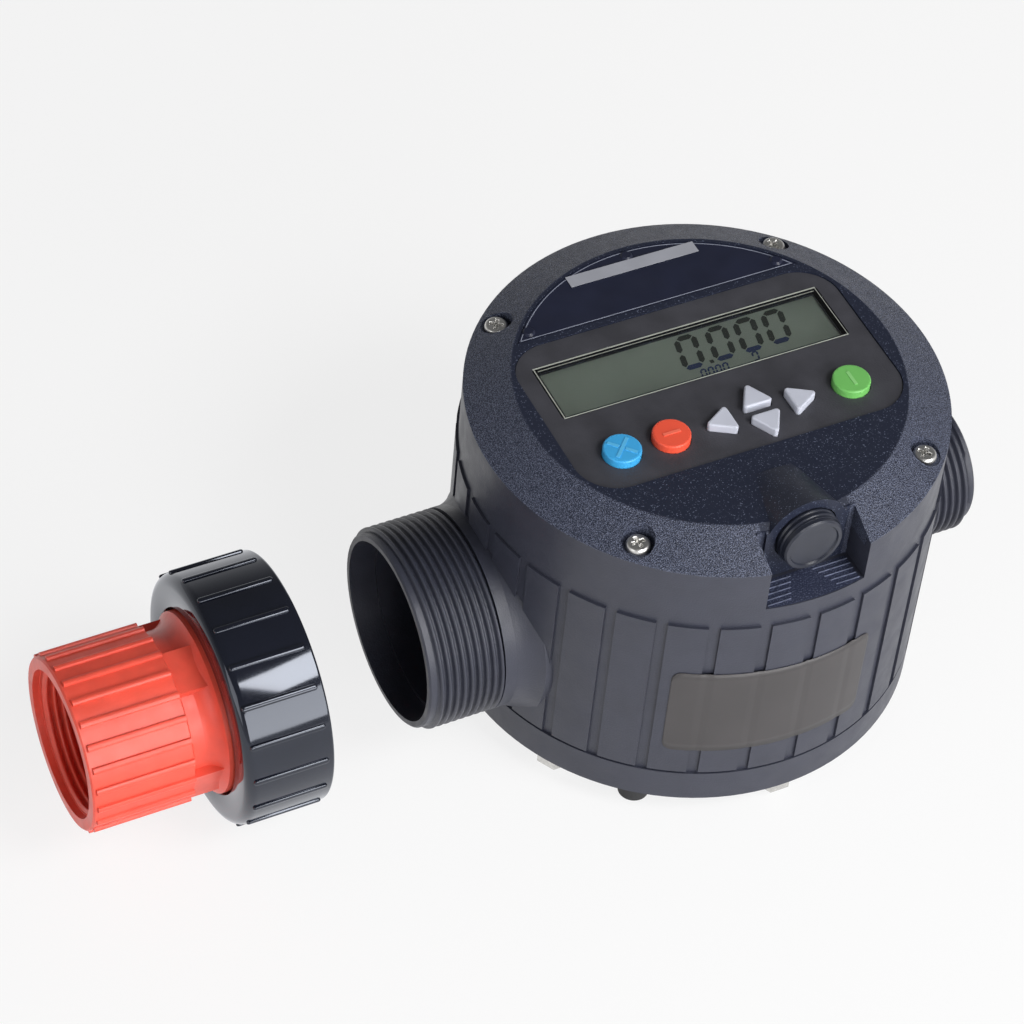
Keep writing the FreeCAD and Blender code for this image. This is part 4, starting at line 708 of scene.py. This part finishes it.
# white for the camera, and a room for the light whose walls are brighter than its ceiling
WALL, CEILING, CEILING_FROM = 0.56, 0.12, 0.6
world = bpy.data.worlds.new("studio")
bpy.context.scene.world = world
world.use_nodes = True
tree = world.node_tree
tree.nodes.clear()
way = put(tree, "ShaderNodeTexCoord").outputs["Generated"]
height = put(tree, "ShaderNodeSeparateXYZ", {0: way}).outputs[2]
tone = put(tree, "ShaderNodeMapRange", {"Value": height, "From Min": 0.0, "To Min": WALL,
                                        "From Max": CEILING_FROM, "To Max": CEILING})
room = put(tree, "ShaderNodeBackground", {"Color": WHITE, "Strength": tone.outputs["Result"]})
backdrop = put(tree, "ShaderNodeBackground", {"Color": WHITE, "Strength": 1.0})
ray = put(tree, "ShaderNodeLightPath").outputs
blend = put(tree, "ShaderNodeMixShader",
            {0: ray["Is Camera Ray"], 1: room.outputs[0], 2: backdrop.outputs[0]})
put(tree, "ShaderNodeOutputWorld", {0: blend.outputs[0]})

# name, place and target in metres, size in metres, power in watts
for name, place, target, size, power in (
        ("overhead", (0.42, -0.78, 1.05), (-0.05, 0, 0.05), (0.6, 0.45), 10.0),
        ("front", (0.20, -1.2, 0.45), (-0.05, 0, 0.03), (1.4, 0.6), 14.0),
        ("left", (-1.25, -0.5, 0.55), (0, 0, 0.05), (0.8, 0.7), 3.2)):
    lamp = bpy.data.lights.new(name, "AREA")
    lamp.shape = "RECTANGLE"
    lamp.size, lamp.size_y = size
    lamp.energy = power
    made = link_object(bpy.data.objects.new(name, lamp))
    made.location = place
    made.rotation_mode = "QUATERNION"
    made.rotation_quaternion = (Vector(target) - Vector(place)).to_track_quat("-Z", "Y")
    made.visible_camera = False

# ---------------------------------------------------------------- camera
CAMERA_PLACE = (-0.424297, -0.636360, 0.865659)
CAMERA_RIGHT = (0.899994, -0.430333, 0.069452)
CAMERA_UP = (0.275601, 0.685200, 0.674200)
CAMERA_BACK = (-0.337719, -0.587635, 0.735276)
lens = bpy.data.cameras.new("camera")
lens.sensor_width = 36.0
lens.lens = 136.997
lens.clip_start = 0.01
lens.clip_end = 100.0
camera = link_object(bpy.data.objects.new("camera", lens))
turn = Matrix((CAMERA_RIGHT, CAMERA_UP, CAMERA_BACK)).transposed().to_4x4()
camera.matrix_world = Matrix.Translation(CAMERA_PLACE) @ turn
bpy.context.scene.camera = camera
bpy.context.scene.view_settings.view_transform = "Standard"
